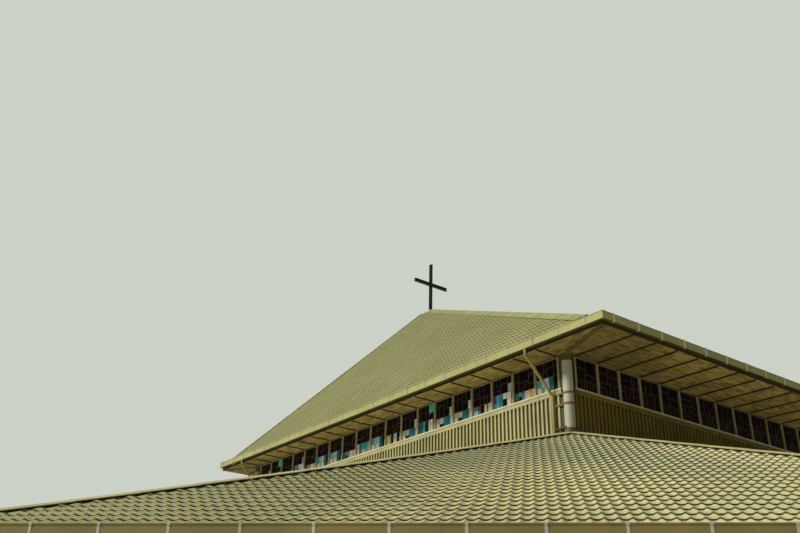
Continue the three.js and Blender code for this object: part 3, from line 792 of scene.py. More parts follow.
# %% Skirt tiles
OVER_GUTTER = 0.03 * REAL
PAN_DEPTH = 0.055 * REAL
SAG = 0.05 * REAL
FIELD_GAP = 0.004
SMOOTH = 50


def sagged(mesh):
    """Lets points between the skirt's eave and its top down by the rafters' sag."""
    for vertex in mesh.vertices:
        climb = min(max((vertex.co.z - EAVE) / SKIRT_RISE, 0.0), 1.0)
        vertex.co.z -= 4 * SAG * climb * (1 - climb)
    return mesh


def placed(mesh, place):
    """A copy of the mesh, moved into its frame and sagged with the rafters."""
    copy = mesh.copy()
    copy.transform(place)
    return sagged(copy)


def hip_cuts(half, shrink):
    """The two cuts of a face whose half-width is half at its foot and shrinks by shrink a metre."""
    return [((half, 0, 0), (1, shrink, 0)), ((-half, 0, 0), (-1, shrink, 0))]


def skirt_field(eave, half, slope, top, top_half, steps):
    foot = eave - OVER_GUTTER
    narrowing = (half - top_half) / (eave - top)
    foot_half = half - OVER_GUTTER * narrowing - FIELD_GAP
    length = (foot - top) / math.cos(slope)
    cuts = hip_cuts(foot_half, narrowing * math.cos(slope))
    return tile_field(-half, half, length, steps, cuts, skirt_skin)


def skirt_frame(turn, eave, slope):
    lift = OVER_GUTTER * math.tan(slope) - PAN_DEPTH / math.cos(slope)
    return face_frame(turn, eave - OVER_GUTTER, EAVE + lift, slope)


# Where each kind of face ends at its top, how wide it still is there, and its wave's points.
tops = ((HALF_HALL + FIELD_GAP, HALF_HALL, PLAIN), (HALL_CORNER + 0.03, 0.024, FINE))
for (turns, eave, half, slope), top in zip(SKIRT_FACES, tops):
    field = skirt_field(eave, half, slope, *top)
    for name, turn in turns.items():
        laid = placed(field, skirt_frame(turn, eave, slope))
        piece(f"skirt_tiles_{name}", [(laid, HERE)], smooth=SMOOTH)

# %% [markdown]
# The hall's roof has two steep side faces and one back face. A side face is cut square at the
# verge and slanting at the hip. The left face mirrors the right one, so its cuts are mirrored
# rather than its mesh, which keeps the faces pointing outward. The back face starts low in its
# gutter, so the hips meet the eaves half a metre before the corner.

# %% Hall tiles
HALL_OVER_GUTTER = 0.08 * REAL
HALL_PAN_DEPTH = 0.05 * REAL
HIP_SHORT = 0.47 * REAL
HIP_CLEAR = 0.003
IN_GUTTER = 0.12 * REAL
BACK_FOOT = BACK_EAVE - HIP_SHORT
BACK_TILE_SLOPE = math.atan((RIDGE - HALL_GUTTER_TOP) / (BACK_FOOT - RIDGE_BACK))

ridge_out = HALL_EAVE_HALF - HALL_OVER_GUTTER
side_length = ridge_out / math.cos(SIDE_SLOPE)
side_lift = HALL_OVER_GUTTER * math.tan(SIDE_SLOPE) - HALL_PAN_DEPTH / math.cos(SIDE_SLOPE)
hip_run = math.tan(SIDE_SLOPE) / math.tan(BACK_TILE_SLOPE)
hip_foot = BACK_FOOT - HALL_OVER_GUTTER * hip_run
for name, turn, end in SIDES:
    hip_cut = ((end * (hip_foot - HIP_CLEAR), 0, 0), (end, hip_run * math.cos(SIDE_SLOPE), 0))
    verge_cut = ((-end * VERGE, 0, 0), (-end, 0, 0))
    ends = sorted((-end * VERGE, end * BACK_EAVE))
    cuts = [hip_cut, verge_cut]
    field = tile_field(*ends, side_length - 0.01, PLAIN, cuts, hall_skin, HALL_COURSE)
    place = face_frame(turn, ridge_out, HALL_GUTTER_TOP + side_lift, SIDE_SLOPE)
    piece(f"hall_tiles_{name}", [(field, place)], smooth=SMOOTH)
back_foot_out = BACK_EAVE - IN_GUTTER
back_fall = (back_foot_out - BACK_FOOT) * math.tan(BACK_TILE_SLOPE)
back_rise = back_fall + HALL_PAN_DEPTH / math.cos(BACK_TILE_SLOPE)
back_place = face_frame(QUARTER, back_foot_out, HALL_GUTTER_TOP - back_rise, BACK_TILE_SLOPE)
back_length = (back_foot_out - RIDGE_BACK) / math.cos(BACK_TILE_SLOPE)
back_half = HALL_EAVE_HALF + (back_foot_out - BACK_FOOT) / hip_run
cuts = hip_cuts(back_half - HIP_CLEAR, math.cos(BACK_TILE_SLOPE) / hip_run)
inside = HALL_EAVE_HALF - IN_GUTTER
cuts += [((inside, 0, 0), (1, 0, 0)), ((-inside, 0, 0), (-1, 0, 0))]
span = -HALL_EAVE_HALF, HALL_EAVE_HALF
field = tile_field(*span, back_length - 0.02, PLAIN, cuts, hall_skin, HALL_COURSE)
piece("hall_tiles_back", [(field, back_place)], smooth=SMOOTH)

# %% [markdown]
# Under the sheets lies the roof deck. It is the CAD slab with a shaving taken off its top, so that
# it stays below the pans. A CAD mesh is loose triangles, so it is trimmed as a closed solid: its
# points are merged, a plane cuts it, and the cut is closed again.

# %% Roof decks
def lowered(place, drop):
    """The plane of a face frame, let down by drop: a point on it and its upward normal."""
    normal = (place @ Vector((0, 0, 1, 0))).to_3d()
    return place.translation - Vector((0, 0, drop)), normal


def deck(name, cuts):
    """A roof slab with its top cut away, which then stands for the slab."""
    mesh = frame["nodes"][name].data.copy()
    mesh.materials.clear()
    mesh.materials.append(deck_board)
    parts = [(trimmed(mesh, cuts), HERE)]
    piece(name.replace("roof", "deck"), parts, replaces=[name])


SKIRT_DROP, SIDE_DROP, BACK_DROP = 0.07 * REAL + SAG, 0.09 * REAL, 0.015 * REAL
for turns, eave, _, slope in SKIRT_FACES:
    for name, turn in turns.items():
        plane = face_frame(turn, eave, EAVE, slope)
        deck(f"skirt_roof_{name}", [lowered(plane, SKIRT_DROP)])
back_cut = lowered(back_place, BACK_DROP)
for name, turn, _ in SIDES:
    plane = face_frame(turn, HALL_EAVE_HALF, HALL_GUTTER_TOP, SIDE_SLOPE)
    deck(f"hall_roof_{name}", [lowered(plane, SIDE_DROP), back_cut])
deck("hall_roof_back", [back_cut])

# %% [markdown]
# A hip is the sloping edge where two roof faces meet. Folded metal caps cover it, each about
# 1.2 m long, lying over the next one below. Their edges press on the crests, and closing strips,
# painted near-black as shade, fill the pans under them, which draws a saw-toothed dark line beside
# each cap. One cap is drawn at the top of each hip and the row tree sends copies down it.

# %% Hip caps
CAP_LIFT = 0.020 * REAL
CAP_LIP = 0.009 * REAL
CAP_SHEET = 0.004 * REAL
CAP_LENGTH = 1.2 * REAL
SKIRT_CAP, HALL_CAP, RIDGE_CAP = 0.15 * REAL, 0.28 * REAL, 0.2 * REAL
CAP_LAP, LAP_RISE = 0.02, 0.006 * REAL
FOLD_SHARE, FOLD_RISE = 0.2, 0.002
INNER_SHARE, STOP_SHARE = 0.985, 0.97
STRIP_IN, STRIP_DEPTH = 0.02 * REAL, 0.08 * REAL
STOP_REACH = 0.12 * REAL


def face_normal(turn, slope):
    return (face_frame(turn, 0, 0, slope) @ Vector((0, 0, 1, 0))).to_3d()


def hip_caps(top, foot, first_normal, second_normal, width, start=0.0, finish=0.0,
             metal=flashing_metal):
    """Folded caps, closing strips painted near-black as shade, and a stop end on the hip, each
    width wide to either side.
    """
    run = (foot - top).normalized()
    top = top + run * start
    total = (foot - top).length - finish
    count = max(1, round(total / CAP_LENGTH))
    length = total / count
    sides = []
    for normal, other in ((first_normal, second_normal), (second_normal, first_normal)):
        outward = normal.cross(run)
        if outward.dot(other) < 0:
            outward = -outward
        sides.append((outward, normal))
    (first_out, n1), (second_out, n2) = sides
    fold = (n1 + n2).normalized()
    skin = [
        (first_out * -width, n1, -CAP_LIP), (first_out * -width, n1, 0.0),
        (first_out * -FOLD_SHARE * width, n1, FOLD_RISE), (Vector(), fold, 2 * FOLD_RISE),
        (second_out * -FOLD_SHARE * width, n2, FOLD_RISE),
        (second_out * -width, n2, 0.0), (second_out * -width, n2, -CAP_LIP),
    ]

    def section(at, share, lift, bends=skin):
        return [at + off * share + normal * (CAP_LIFT + lift + rise) for off, normal, rise in bends]

    def ring(at, lift):
        return section(at, 1.0, lift) + section(at, INNER_SHARE, lift - CAP_SHEET)[::-1]

    cap = Shape().loft(ring(top, 0.0), ring(top + run * (length + CAP_LAP), LAP_RISE))
    strips = Shape()
    for outward, normal in sides:
        edge, middle = outward * -(width - STRIP_IN), outward * -0.5 * width
        above, below = normal * CAP_LIFT * 0.5, -normal * STRIP_DEPTH
        outline = [edge + above, middle + above, middle + below, edge + below]
        strips.loft([top + p for p in outline], [top + run * length + p for p in outline])
    end = top + run * total
    outer = section(end, STOP_SHARE, -CAP_SHEET, skin[1:-1])
    sunk = [outer[-1] - n2 * STOP_REACH, end - fold * STOP_REACH]
    stop = [outer[0] - n1 * STOP_REACH] + outer + sunk
    closing = Shape().loft([p - run * 0.01 for p in stop], stop).mesh(metal)
    caps = row(cap.mesh(), count, run * length, metal)
    return [caps, row(strips.mesh(), count, run * length, shadow_strip), closing]


def skirt_hip(turn, sign):
    """The hip on one end of a diagonal face, as its top and foot points."""
    frame_top = face_frame(turn, HALL_CORNER, EAVE + SKIRT_RISE, WALL)
    frame_foot = face_frame(turn, DIAGONAL_EAVE, EAVE, WALL)
    return frame_top.translation, frame_foot @ Vector((sign * DIAGONAL_HALF, 0, 0))


caps = []
for turn in DIAGONAL.values():
    for sign in (-1, 1):
        next_face = face_normal(turn + sign * QUARTER / 2, STRAIGHT_SLOPE)
        normals = face_normal(turn, DIAGONAL_SLOPE), next_face
        laid = hip_caps(*skirt_hip(turn, sign), *normals, SKIRT_CAP, start=0.05, finish=0.07)
        caps += [(sagged(mesh), HERE) for mesh in laid]
piece("skirt_hip_caps", caps, replaces=["skirt_flashings"])

# %% [markdown]
# The hall's roof has wider caps on its hips, cut off along the inside of the gutter, one ridge
# cap, and a barge board with its own flashing along each sloping edge of the gable.

# %% Hall caps and verges
BOARD_THICK, BOARD_DROP = 0.03 * REAL, 0.25 * REAL
VERGE_TOP, VERGE_SHEET, VERGE_FACE = 0.018 * REAL, 0.006 * REAL, 0.006
peak = Vector((0, RIDGE_BACK, RIDGE - HALL_PAN_DEPTH))
back_normal = face_normal(QUARTER, BACK_TILE_SLOPE)
trims = []
for _, turn, end in SIDES:
    corner = Vector((end * HALL_EAVE_HALF, BACK_FOOT, HALL_GUTTER_TOP - 0.02 * REAL))
    normals = face_normal(turn, SIDE_SLOPE), back_normal
    caps = hip_caps(peak, corner, *normals, HALL_CAP, start=0.06, finish=-0.1, metal=cap_metal)
    edges = [
        ((end * (HALL_EAVE_HALF - 0.035 * REAL), 0, 0), (end, 0, 0)),
        ((0, BACK_EAVE - 0.1 * REAL, 0), (0, 1, 0)),
    ]
    trims += [(trimmed(mesh, edges), HERE) for mesh in caps[:2]]
normals = [face_normal(turn, SIDE_SLOPE) for _, turn, _ in SIDES]
ridge_front = Vector((0, -VERGE - 0.03 * REAL, RIDGE - HALL_PAN_DEPTH))
caps = hip_caps(peak + Vector((0, 0.03, 0)), ridge_front, *normals, RIDGE_CAP, metal=cap_metal)
trims += [(mesh, HERE) for mesh in caps]
slope_length = HALL_EAVE_HALF / math.cos(SIDE_SLOPE)
for _, turn, end in SIDES:
    place = face_frame(turn, HALL_EAVE_HALF, HALL_GUTTER_TOP, SIDE_SLOPE)
    x = -end * VERGE
    outer = x - end * BOARD_THICK
    fold, lap = outer + end * VERGE_FACE, x + end * 0.16 * REAL
    board = [(x, -BOARD_DROP), (outer, -BOARD_DROP), (outer, 0.0), (x, 0.0)]
    flashing = [
        (outer, -0.06 * REAL), (outer, VERGE_TOP), (lap, VERGE_TOP), (lap, VERGE_SHEET),
        (fold, VERGE_SHEET), (fold, -0.06 * REAL),
    ]
    verge = Shape().prism(board, 0.13, slope_length - 0.01).prism(flashing, 0.10, slope_length)
    trims.append((verge.mesh(flashing_metal), place))
piece("hall_hip_caps_and_verges", trims, replaces=["hall_roof_caps"])

# %% [markdown]
# Where a straight skirt roof meets the hall's wall, a bent flashing turns up behind the cladding
# and lies over the top course of tiles, with a closing strip under its edge, painted near-black as
# shade.

# %% Base flashings
reach, sheet, bend = 0.2 * REAL, 0.004 * REAL, 0.018 * REAL
turn_up, gap, flare = 0.10 * REAL, 0.0005, 0.9
drop = reach * math.tan(STRAIGHT_SLOPE)
low = bend - drop
outline = [
    (gap, turn_up), (gap, bend), (reach, low), (reach, low - CAP_LIP),
    (reach + sheet, low - CAP_LIP), (reach + sheet, low + sheet),
    (sheet + gap, bend + 2 * sheet), (sheet + gap, turn_up),
]
inner, outer = 0.5 * reach, reach - STRIP_IN
strip = [
    (inner, bend - 0.5 * drop), (outer, bend - drop * outer / reach),
    (outer, -drop - STRIP_DEPTH), (inner, -0.5 * drop - STRIP_DEPTH),
]
bent = []
for shape, material in ((outline, flashing_metal), (strip, shadow_strip)):
    start = [(-BETWEEN_COLUMNS - out * flare, up, out) for out, up in shape]
    finish = [(BETWEEN_COLUMNS + out * flare, up, out) for out, up in shape]
    bent.append(Shape().loft(start, finish).mesh(material))
walls = [face_frame(turn, HALF_HALL, EAVE + SKIRT_RISE, WALL) for turn in STRAIGHT.values()]
piece("hall_base_flashings", [(mesh, wall) for wall in walls for mesh in bent])

# %% [markdown]
# Both gutters are box gutters held by straps every metre. A strap hooks over the gutter, goes
# round its lip, runs down the face and turns under the bottom. The low gutter's straight sides are
# the widest part of the building, so the straps there pass behind the lip instead, to keep the
# model's width. All are rows of one small folded part.

# %% Gutter straps
LIP, LIP_HEIGHT = 0.008 * REAL, 0.022 * REAL
CLOSE = 0.0004
STRAP_WIDTH, STRAP_SHEET = 0.042 * REAL, 0.0045 * REAL
STRAP_MARGIN = 0.3


def strap(depth, reach, over, rise, round_lip=True):
    """A folded strap: x across, y up from the lip's top, z out from the gutter's face.

    depth is how far it drops, reach how far it turns in under the gutter, over how far it lies
    behind the lip, and rise how high above the lip it lies there.
    """
    thick, foot = STRAP_SHEET, -depth - STRAP_SHEET
    outline = [(thick, foot), (-reach, foot), (-reach, -depth), (CLOSE, -depth)]
    if round_lip:
        out, under = LIP + CLOSE, -LIP_HEIGHT
        outline += [
            (CLOSE, under), (out, under), (out, rise), (-over, rise), (-over, rise + thick),
            (out + thick, rise + thick), (out + thick, under - thick), (thick, under - thick),
        ]
    else:
        outline += [(CLOSE, rise), (-over, rise), (-over, rise + thick), (thick, rise + thick)]
    start = [(-STRAP_WIDTH / 2, up, out) for out, up in outline]
    finish = [(STRAP_WIDTH / 2, up, out) for out, up in outline]
    return Shape().loft(start, finish).mesh()


def strap_row(form, low, high, phase, metal):
    """Straps from low to high on every whole metre plus phase, and the shift to the first."""
    first = math.ceil(low / REAL + STRAP_MARGIN - phase) + phase
    last = math.floor(high / REAL - STRAP_MARGIN - phase) + phase
    mesh = row(form, round(last - first) + 1, (REAL, 0, 0), metal)
    return mesh, Matrix.Translation((first * REAL, 0, 0))


straps = []
for turns, eave, half, _ in SKIRT_FACES:
    form = strap(
        depth=0.2 * REAL, reach=0.08 * REAL, over=0.02 * REAL, rise=0.001,
        round_lip=turns is DIAGONAL,
    )
    mesh, shift = strap_row(form, -half, half, 0.07, bracket_metal)
    straps += [(mesh, face_frame(turn, eave - LIP, EAVE, WALL) @ shift) for turn in turns.values()]
piece("skirt_gutter_straps", straps)

straps = []
form = strap(depth=0.225 * REAL, reach=0.06 * REAL, over=0.03 * REAL, rise=0.022 * REAL)
for turn, eave, low, high in HALL_EAVES:
    # Side eaves take the darker strap paint; back and front take the pale one, painted light.
    phase, metal = (0.05, clip_metal) if eave == HALL_EAVE_HALF else (0.07, pale_clip_painted_light)
    mesh, shift = strap_row(form, -low, high, phase, metal)
    straps.append((mesh, face_frame(turn, eave - LIP, HALL_GUTTER_TOP, WALL) @ shift))
piece("hall_gutter_straps", straps)

# %% [markdown]
# The band below the windows is box-rib cladding: pale ribs and deep grooves, 167 mm apart, the
# grooves painted near-black as shade. The gable wall at the front carries the same ribs, cut to
# the roof's slope. Under the sill a near-black strip in the tops of the grooves is the sill's
# painted shadow.

# %% Cladding
RIB = 0.167 * REAL
RIB_DEEP, RIB_WIDE, RIB_CROWN = 0.04 * REAL, 0.098 * REAL, 0.07 * REAL
WALL_FOOT = EAVE + SKIRT_RISE + 0.05 * REAL
WALL_HALF = HALF_HALL - 0.21 * REAL
BAND = SILL - 0.002 - WALL_FOOT
SHADE = 0.045 * REAL
RIB_BACK, BACKING_THICK, SHADE_THICK = 0.0005, (0.0002, 0.0010), (0.0012, 0.03 * REAL)
GABLE_FOOT = HEAD + 0.035 * REAL
UNDER_ROOF = 0.27 * REAL


def rib_row(height, half):
    """Upright ribs that fill a wall from -half to half, and the shift that centres them."""
    outline = [
        (0, RIB_BACK), (RIB_WIDE, RIB_BACK),
        (0.5 * (RIB_WIDE + RIB_CROWN), RIB_DEEP), (0.5 * (RIB_WIDE - RIB_CROWN), RIB_DEEP),
    ]
    count = int(2 * half / RIB)
    mesh = row(Shape().prism(outline, 0, height).mesh(), count, (RIB, 0, 0), cladding_metal)
    return mesh, Matrix.Translation((-count * RIB / 2, 0, 0))


bands, grooves = [], []
ribs, shift = rib_row(BAND, WALL_HALF)
span = -WALL_HALF, WALL_HALF
backing = Shape().block(span, (0, BAND), BACKING_THICK).mesh(groove_shade_metal)
# A near-black strip at the top of the grooves is the sill's painted shadow.
shade = Shape().block(span, (BAND - SHADE, BAND), SHADE_THICK).mesh(shadow_strip)
for turn in STRAIGHT.values():
    place = face_frame(turn, HALF_HALL, WALL_FOOT, WALL)
    grooves += [(shade, place), (backing, place)]
    bands.append((ribs, place @ shift))
gable, shift = rib_row(RIDGE - GABLE_FOOT, HALF_HALL)
gable.transform(shift)
top = (0, RIDGE - GABLE_FOOT - UNDER_ROOF / math.cos(SIDE_SLOPE), 0)
cuts = [(top, (end * math.sin(SIDE_SLOPE), math.cos(SIDE_SLOPE), 0)) for end in (-1, 1)]
bands.append((trimmed(gable, cuts), face_frame(3 * QUARTER, HALF_HALL, GABLE_FOOT, WALL)))
piece("hall_cladding_ribs", bands)
piece("hall_cladding_grooves", grooves)

# %% [markdown]
# Beside the gable the side eaves are hollow boxes under the roof. A plate cut to the roof's slope
# closes each one.

# %% Eave ends
near, far = HALF_HALL + 0.003, HALL_EAVE_HALF - GUTTER_WIDTH - 0.01 * REAL
low, high = HEAD + 0.038 * REAL, HALL_GUTTER_TOP - 0.385 * REAL
rise = math.tan(SIDE_SLOPE)
far_top = max(low + 0.001, high + (HALL_EAVE_HALF - far) * rise)
near_top = high + (HALL_EAVE_HALF - near) * rise
outline = [(near, low), (far, low), (far, far_top), (near, near_top)]
plate = -HALF_HALL - 0.035 * REAL, -HALF_HALL - 0.010 * REAL
ends = Shape()
for side in (-1, 1):
    ends.prism([(side * x, z) for x, z in outline], *plate)
piece("hall_eave_ends", [(ends.mesh(cladding_metal), HERE)])

# %% [markdown]
# The soffit is lined with narrow boards that run along the eave and meet in mitres at the
# corners. Dark battens cross them at every window post, and a pair of dark strips covers each
# mitre; their timber is painted near-black, partly as shade. The slab of the CAD model, painted
# near-black as shade, shows through the gaps between the boards. At the front the slab's top can
# be seen from above beyond the gable, so a metal sheet covers it there.

# %% Upper soffit
BOARD, BOARD_GAP, BOARD_DEPTH = 0.09 * REAL, 0.006 * REAL, 0.012 * REAL
BATTEN_HALF, BATTEN_DEPTH = 0.036 * REAL, 0.022 * REAL
SEAT = 0.0003
MITRE_STRIPS = ((-0.065 * REAL, -0.030 * REAL), (0.030 * REAL, 0.065 * REAL))
BAYS = 19
FIN, FIRST_FIN = 0.066 * REAL, 0.359 * REAL
BAY = 2 * (HALF_HALL - FIRST_FIN) / BAYS
LEDGE_IN, LEDGE = 0.05 * REAL, (10.5375 * REAL, 10.543 * REAL)


def boarding(near, far_low, far_high, depth):
    """Boards side by side from y = 0 to depth, mitred at both ends, z pointing down."""
    reach = max(far_low, far_high) + 0.05
    pitch = BOARD + BOARD_GAP
    board = Shape().block((-reach, reach), (BOARD_GAP, pitch), (SEAT, BOARD_DEPTH)).mesh()
    mesh = row(board, math.ceil(depth / pitch), (0, pitch, 0), soffit_timber)
    mesh = trimmed(mesh, [
        ((near, 0, 0), (depth, near - far_high, 0)), ((-near, 0, 0), (-depth, near - far_low, 0)),
        ((0, depth, 0), (0, 1, 0)),
    ])
    local = mesh.attributes.new("local", "FLOAT_VECTOR", "POINT")
    for vertex, value in zip(mesh.vertices, local.data):
        value.vector = vertex.co
    return mesh


boards, battens = [], []
for turn, *eaves in HALL_EAVES:
    reach, far_low, far_high = (eave - GUTTER_WIDTH for eave in eaves)
    place = face_frame(turn, HALF_HALL, HEAD, SOFFIT)
    depth = reach - HALF_HALL
    boards.append((boarding(HALF_HALL, far_low, far_high, depth), place))
    thick = (SEAT, BOARD_DEPTH + BATTEN_DEPTH)
    batten = Shape().block((-BATTEN_HALF, BATTEN_HALF), (0, depth), thick).mesh()
    laid = row(batten, BAYS + 1, (BAY, 0, 0), batten_timber)
    battens.append((laid, place @ Matrix.Translation((-BAYS * BAY / 2, 0, 0))))
for x, y in CORNERS:
    eave = BACK_EAVE if y > 0 else FRONT_EAVE
    start = Vector((x * HALF_HALL, y * HALF_HALL, HEAD))
    end = Vector((x * (HALL_EAVE_HALF - GUTTER_WIDTH), y * (eave - GUTTER_WIDTH), HEAD))
    down = -Vector((0, 0, 1))
    run = (end - start).normalized()
    turned = Matrix((down.cross(run), run, down)).transposed().to_4x4()
    strips = Shape()
    thick = (BOARD_DEPTH - 0.001, BOARD_DEPTH + 0.004)
    for across in MITRE_STRIPS:
        strips.block(across, (0.05, (end - start).length), thick)
    battens.append((strips.mesh(batten_timber), Matrix.Translation(start) @ turned))
piece("hall_soffit_boards", boards)
piece("hall_soffit_battens", battens)
half = HALL_EAVE_HALF - GUTTER_WIDTH - LEDGE_IN
ledge_depth = -(FRONT_EAVE - GUTTER_WIDTH) + LEDGE_IN, -HALF_HALL - LEDGE_IN
ledge = Shape().block((-half, half), ledge_depth, LEDGE).mesh(flashing_metal)
piece("hall_front_ledge", [(ledge, HERE)])

# %% [markdown]
# The lower soffit is the same boarding under the eight skirt eaves.

# %% Lower soffit
LOW_DEEP, LOW_GUTTER, MITRE_GAP = 0.895 * REAL, 0.155 * REAL, 0.002
low_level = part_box("skirt_soffit")[0].z
boards = []
for turns, eave, half, _ in SKIRT_FACES:
    closing = half / eave
    near, far = (half - out * closing - MITRE_GAP for out in (LOW_DEEP, LOW_GUTTER))
    laid = boarding(near, far, far, LOW_DEEP - LOW_GUTTER)
    for turn in turns.values():
        boards.append((laid, face_frame(turn, eave - LOW_DEEP, low_level, SOFFIT)))
piece("skirt_soffit_boards", boards)

# %% [markdown]
# Leaded glass is made of panels. The lower part of a panel is painted bright, as a reflection of
# the sky, and the upper part is dark.
# Each part is split again and again at places a seeded random generator picks, so that the leads
# form a loose grid of unequal rectangles, and every rectangle of glass has a tint of its own. Some
# panels also get one long slanting lead. Only ten panels are drawn for each side.

# %% Leaded panels
PANEL_WIDTH, PANEL_HEIGHT = BAY - FIN, HEAD - SILL_TOP - 0.004 * REAL
GLASS_THICK = 0.002
SMALLEST = 0.18 * REAL
LEAD = 0.009 * REAL
LEAD_BACK, LEAD_FRONT = 0.0005, 0.0045
BLOCK_CORNERS = 24
BRIGHT = (
    (0.01, 0.14, 0.15), (0.04, 0.22, 0.22), (0.01, 0.08, 0.07), (0.42, 0.30, 0.20),
    (0.45, 0.43, 0.33), (0.24, 0.30, 0.32), (0.27, 0.25, 0.10), (0.02, 0.17, 0.22),
    (0.02, 0.12, 0.10), (0.36, 0.32, 0.24), (0.03, 0.25, 0.24), (0.16, 0.20, 0.17),
    (0.07, 0.02, 0.15), (0.12, 0.02, 0.012),
)
DARK = (
    (0.006, 0.002, 0.002), (0.004, 0.002, 0.003), (0.007, 0.003, 0.001), (0.004, 0.003, 0.002),
)


def split(cell, depth, upright, dice):
    """Splits a cell into unequal rectangles; upright above 1 favours tall ones."""
    x0, y0, x1, y1 = cell
    wide, high = x1 - x0, y1 - y0
    if depth == 0 or max(wide, high) < SMALLEST:
        return [cell]
    share = dice.uniform(0.3, 0.7)
    if upright * wide * dice.uniform(0.6, 1.5) > high:
        cut = x0 + wide * share
        halves = (x0, y0, cut, y1), (cut, y0, x1, y1)
    else:
        cut = y0 + high * share
        halves = (x0, y0, x1, cut), (x0, cut, x1, y1)
    return [small for half in halves for small in split(half, depth - 1, upright, dice)]


def bar(leads, start, end):
    """One lead from start to end, both x, y points on the panel."""
    run = Vector(end) - Vector(start)
    side = Vector((-run.y, run.x)).normalized() * LEAD / 2
    outline = [
        (side.x, side.y, LEAD_BACK), (side.x, side.y, LEAD_FRONT),
        (-side.x, -side.y, LEAD_FRONT), (-side.x, -side.y, LEAD_BACK),
    ]
    leads.loft(*([(p[0] + x, p[1] + y, z) for x, y, z in outline] for p in (start, end)))


def panel(seed, bright):
    """One leaded panel: its glass with tints, and its leads; bright is the chance of a colour."""
    dice = random.Random(seed)
    level = PANEL_HEIGHT * dice.uniform(0.3, 0.55)
    low = split((0, 0, PANEL_WIDTH, level), 3, 2.0, dice)
    high = split((0, level, PANEL_WIDTH, PANEL_HEIGHT), 3 if bright else 2, 1.2, dice)
    glass, leads, tints = Shape(), Shape(), []
    for cells, chance in ((low, bright), (high, 0.06 * bright)):
        for x0, y0, x1, y1 in cells:
            glass.block((x0, x1), (y0, y1), (0.0, GLASS_THICK))
            chosen = dice.choice(BRIGHT if dice.random() < chance else DARK)
            tints += [(*chosen, 1)] * BLOCK_CORNERS
            bar(leads, (x0, y0), (x1, y0))
            bar(leads, (x0, y0), (x0, y1))
    if dice.random() < 0.5:
        foot = dice.uniform(0, 0.4) * PANEL_WIDTH
        bar(leads, (foot, 0), (PANEL_WIDTH, dice.uniform(0.5, 1.0) * PANEL_HEIGHT))
    glass, leads = glass.mesh(), leads.mesh()
    layer = glass.color_attributes.new("tint", "FLOAT_COLOR", "CORNER")
    for corner, value in zip(layer.data, tints):
        corner.color = value
    return glass, leads


print(len(BRIGHT), "bright tints and", len(DARK), "dark ones")

# %% [markdown]
# A second geometry tree sets the panels in the bays. It takes a collection of panels and, on each
# point of a line, picks one by a random number with a fixed seed. The glass and the leads are
# laid by two runs with the same seed, so that they fit each other.

# %% The pick tree
KINDS = 10
recipe, given, result = new_group(
    "Pick", "GeometryNodeTree",
    [
        ("Geometry", "NodeSocketGeometry", None), ("Panels", "NodeSocketCollection", None),
        ("Count", "NodeSocketInt", BAYS), ("Step", "NodeSocketVector", (BAY, 0.0, 0.0)),
        ("Kinds", "NodeSocketInt", KINDS), ("Seed", "NodeSocketInt", 1),
        ("Material", "NodeSocketMaterial", None),
    ],
    [("Geometry", "NodeSocketGeometry")],
)
line = recipe.add("GeometryNodeMeshLine", {"Count": given["Count"], "Offset": given["Step"]})
kinds = recipe.add("GeometryNodeCollectionInfo", {"Collection": given["Panels"]})
kinds.inputs["Separate Children"].default_value = True
pick = recipe.add("FunctionNodeRandomValue", data_type="INT")
recipe.put(pick.inputs[4], 0)
recipe.put(pick.inputs[5], recipe.minus(given["Kinds"], 1))
recipe.put(pick.inputs["Seed"], given["Seed"])
places = {
    "Points": line.outputs[0], "Instance": kinds.outputs[0], "Instance Index": pick.outputs[2],
}
copies = recipe.add("GeometryNodeInstanceOnPoints", places)
copies.inputs["Pick Instance"].default_value = True
real = recipe.add("GeometryNodeRealizeInstances", {"Geometry": copies.outputs[0]})
finish = {"Geometry": real.outputs[0], "Material": given["Material"]}
recipe.put(result["Geometry"], recipe.add("GeometryNodeSetMaterial", finish).outputs[0])
PICK = recipe.tree


def panel_run(bright, seed):
    """One side's glass and leads, each as one mesh that starts at the first bay."""
    made = []
    for part, material in enumerate((leaded_glass, lead_came)):
        kit = bpy.data.collections.new("panels")
        for number in range(KINDS):
            mesh = panel(seed * 10 + number, bright)[part]
            kit.objects.link(bpy.data.objects.new(f"panel_{number}", mesh))
        values = {
            "Panels": kit, "Count": BAYS, "Step": (BAY, 0, 0), "Kinds": KINDS, "Seed": seed,
            "Material": material,
        }
        made.append(grow(bpy.data.meshes.new("empty"), PICK, values))
        for source in list(kit.objects):
            bpy.data.objects.remove(source)
        bpy.data.collections.remove(kit)
    return made


GLASS_OUT, GLASS_FOOT = 9.372 * REAL, SILL_TOP + 0.002 * REAL
FIRST_PANEL = Matrix.Translation((-BAYS * BAY / 2 + FIN / 2, 0, 0))
# Each side's chance of bright glass, and its seed. The back shows no bright glass in the picture:
# it lies in shade, so its panels get no painted reflection.
GLASS_SIDES = {"right": (0.8, 3), "back": (0.0, 5), "left": (0.8, 7), "front": (0.8, 9)}
for name, (bright, seed) in GLASS_SIDES.items():
    place = face_frame(STRAIGHT[name], GLASS_OUT, GLASS_FOOT, WALL) @ FIRST_PANEL
    parts = [(mesh, place) for mesh in panel_run(bright, seed)]
    piece(f"hall_leaded_glass_{name}", parts, replaces=[f"hall_glass_{name}"])

# %% [markdown]
# A sill's nose runs under the windows, a strip of the cladding's metal covers the wall below it,
# and a dark timber rail covers the wall above them. Each is one straight block a side.

# %% Sills and heads
around = [face_frame(turn, HALF_HALL, 0, WALL) for turn in STRAIGHT.values()]
span = -BETWEEN_COLUMNS, BETWEEN_COLUMNS
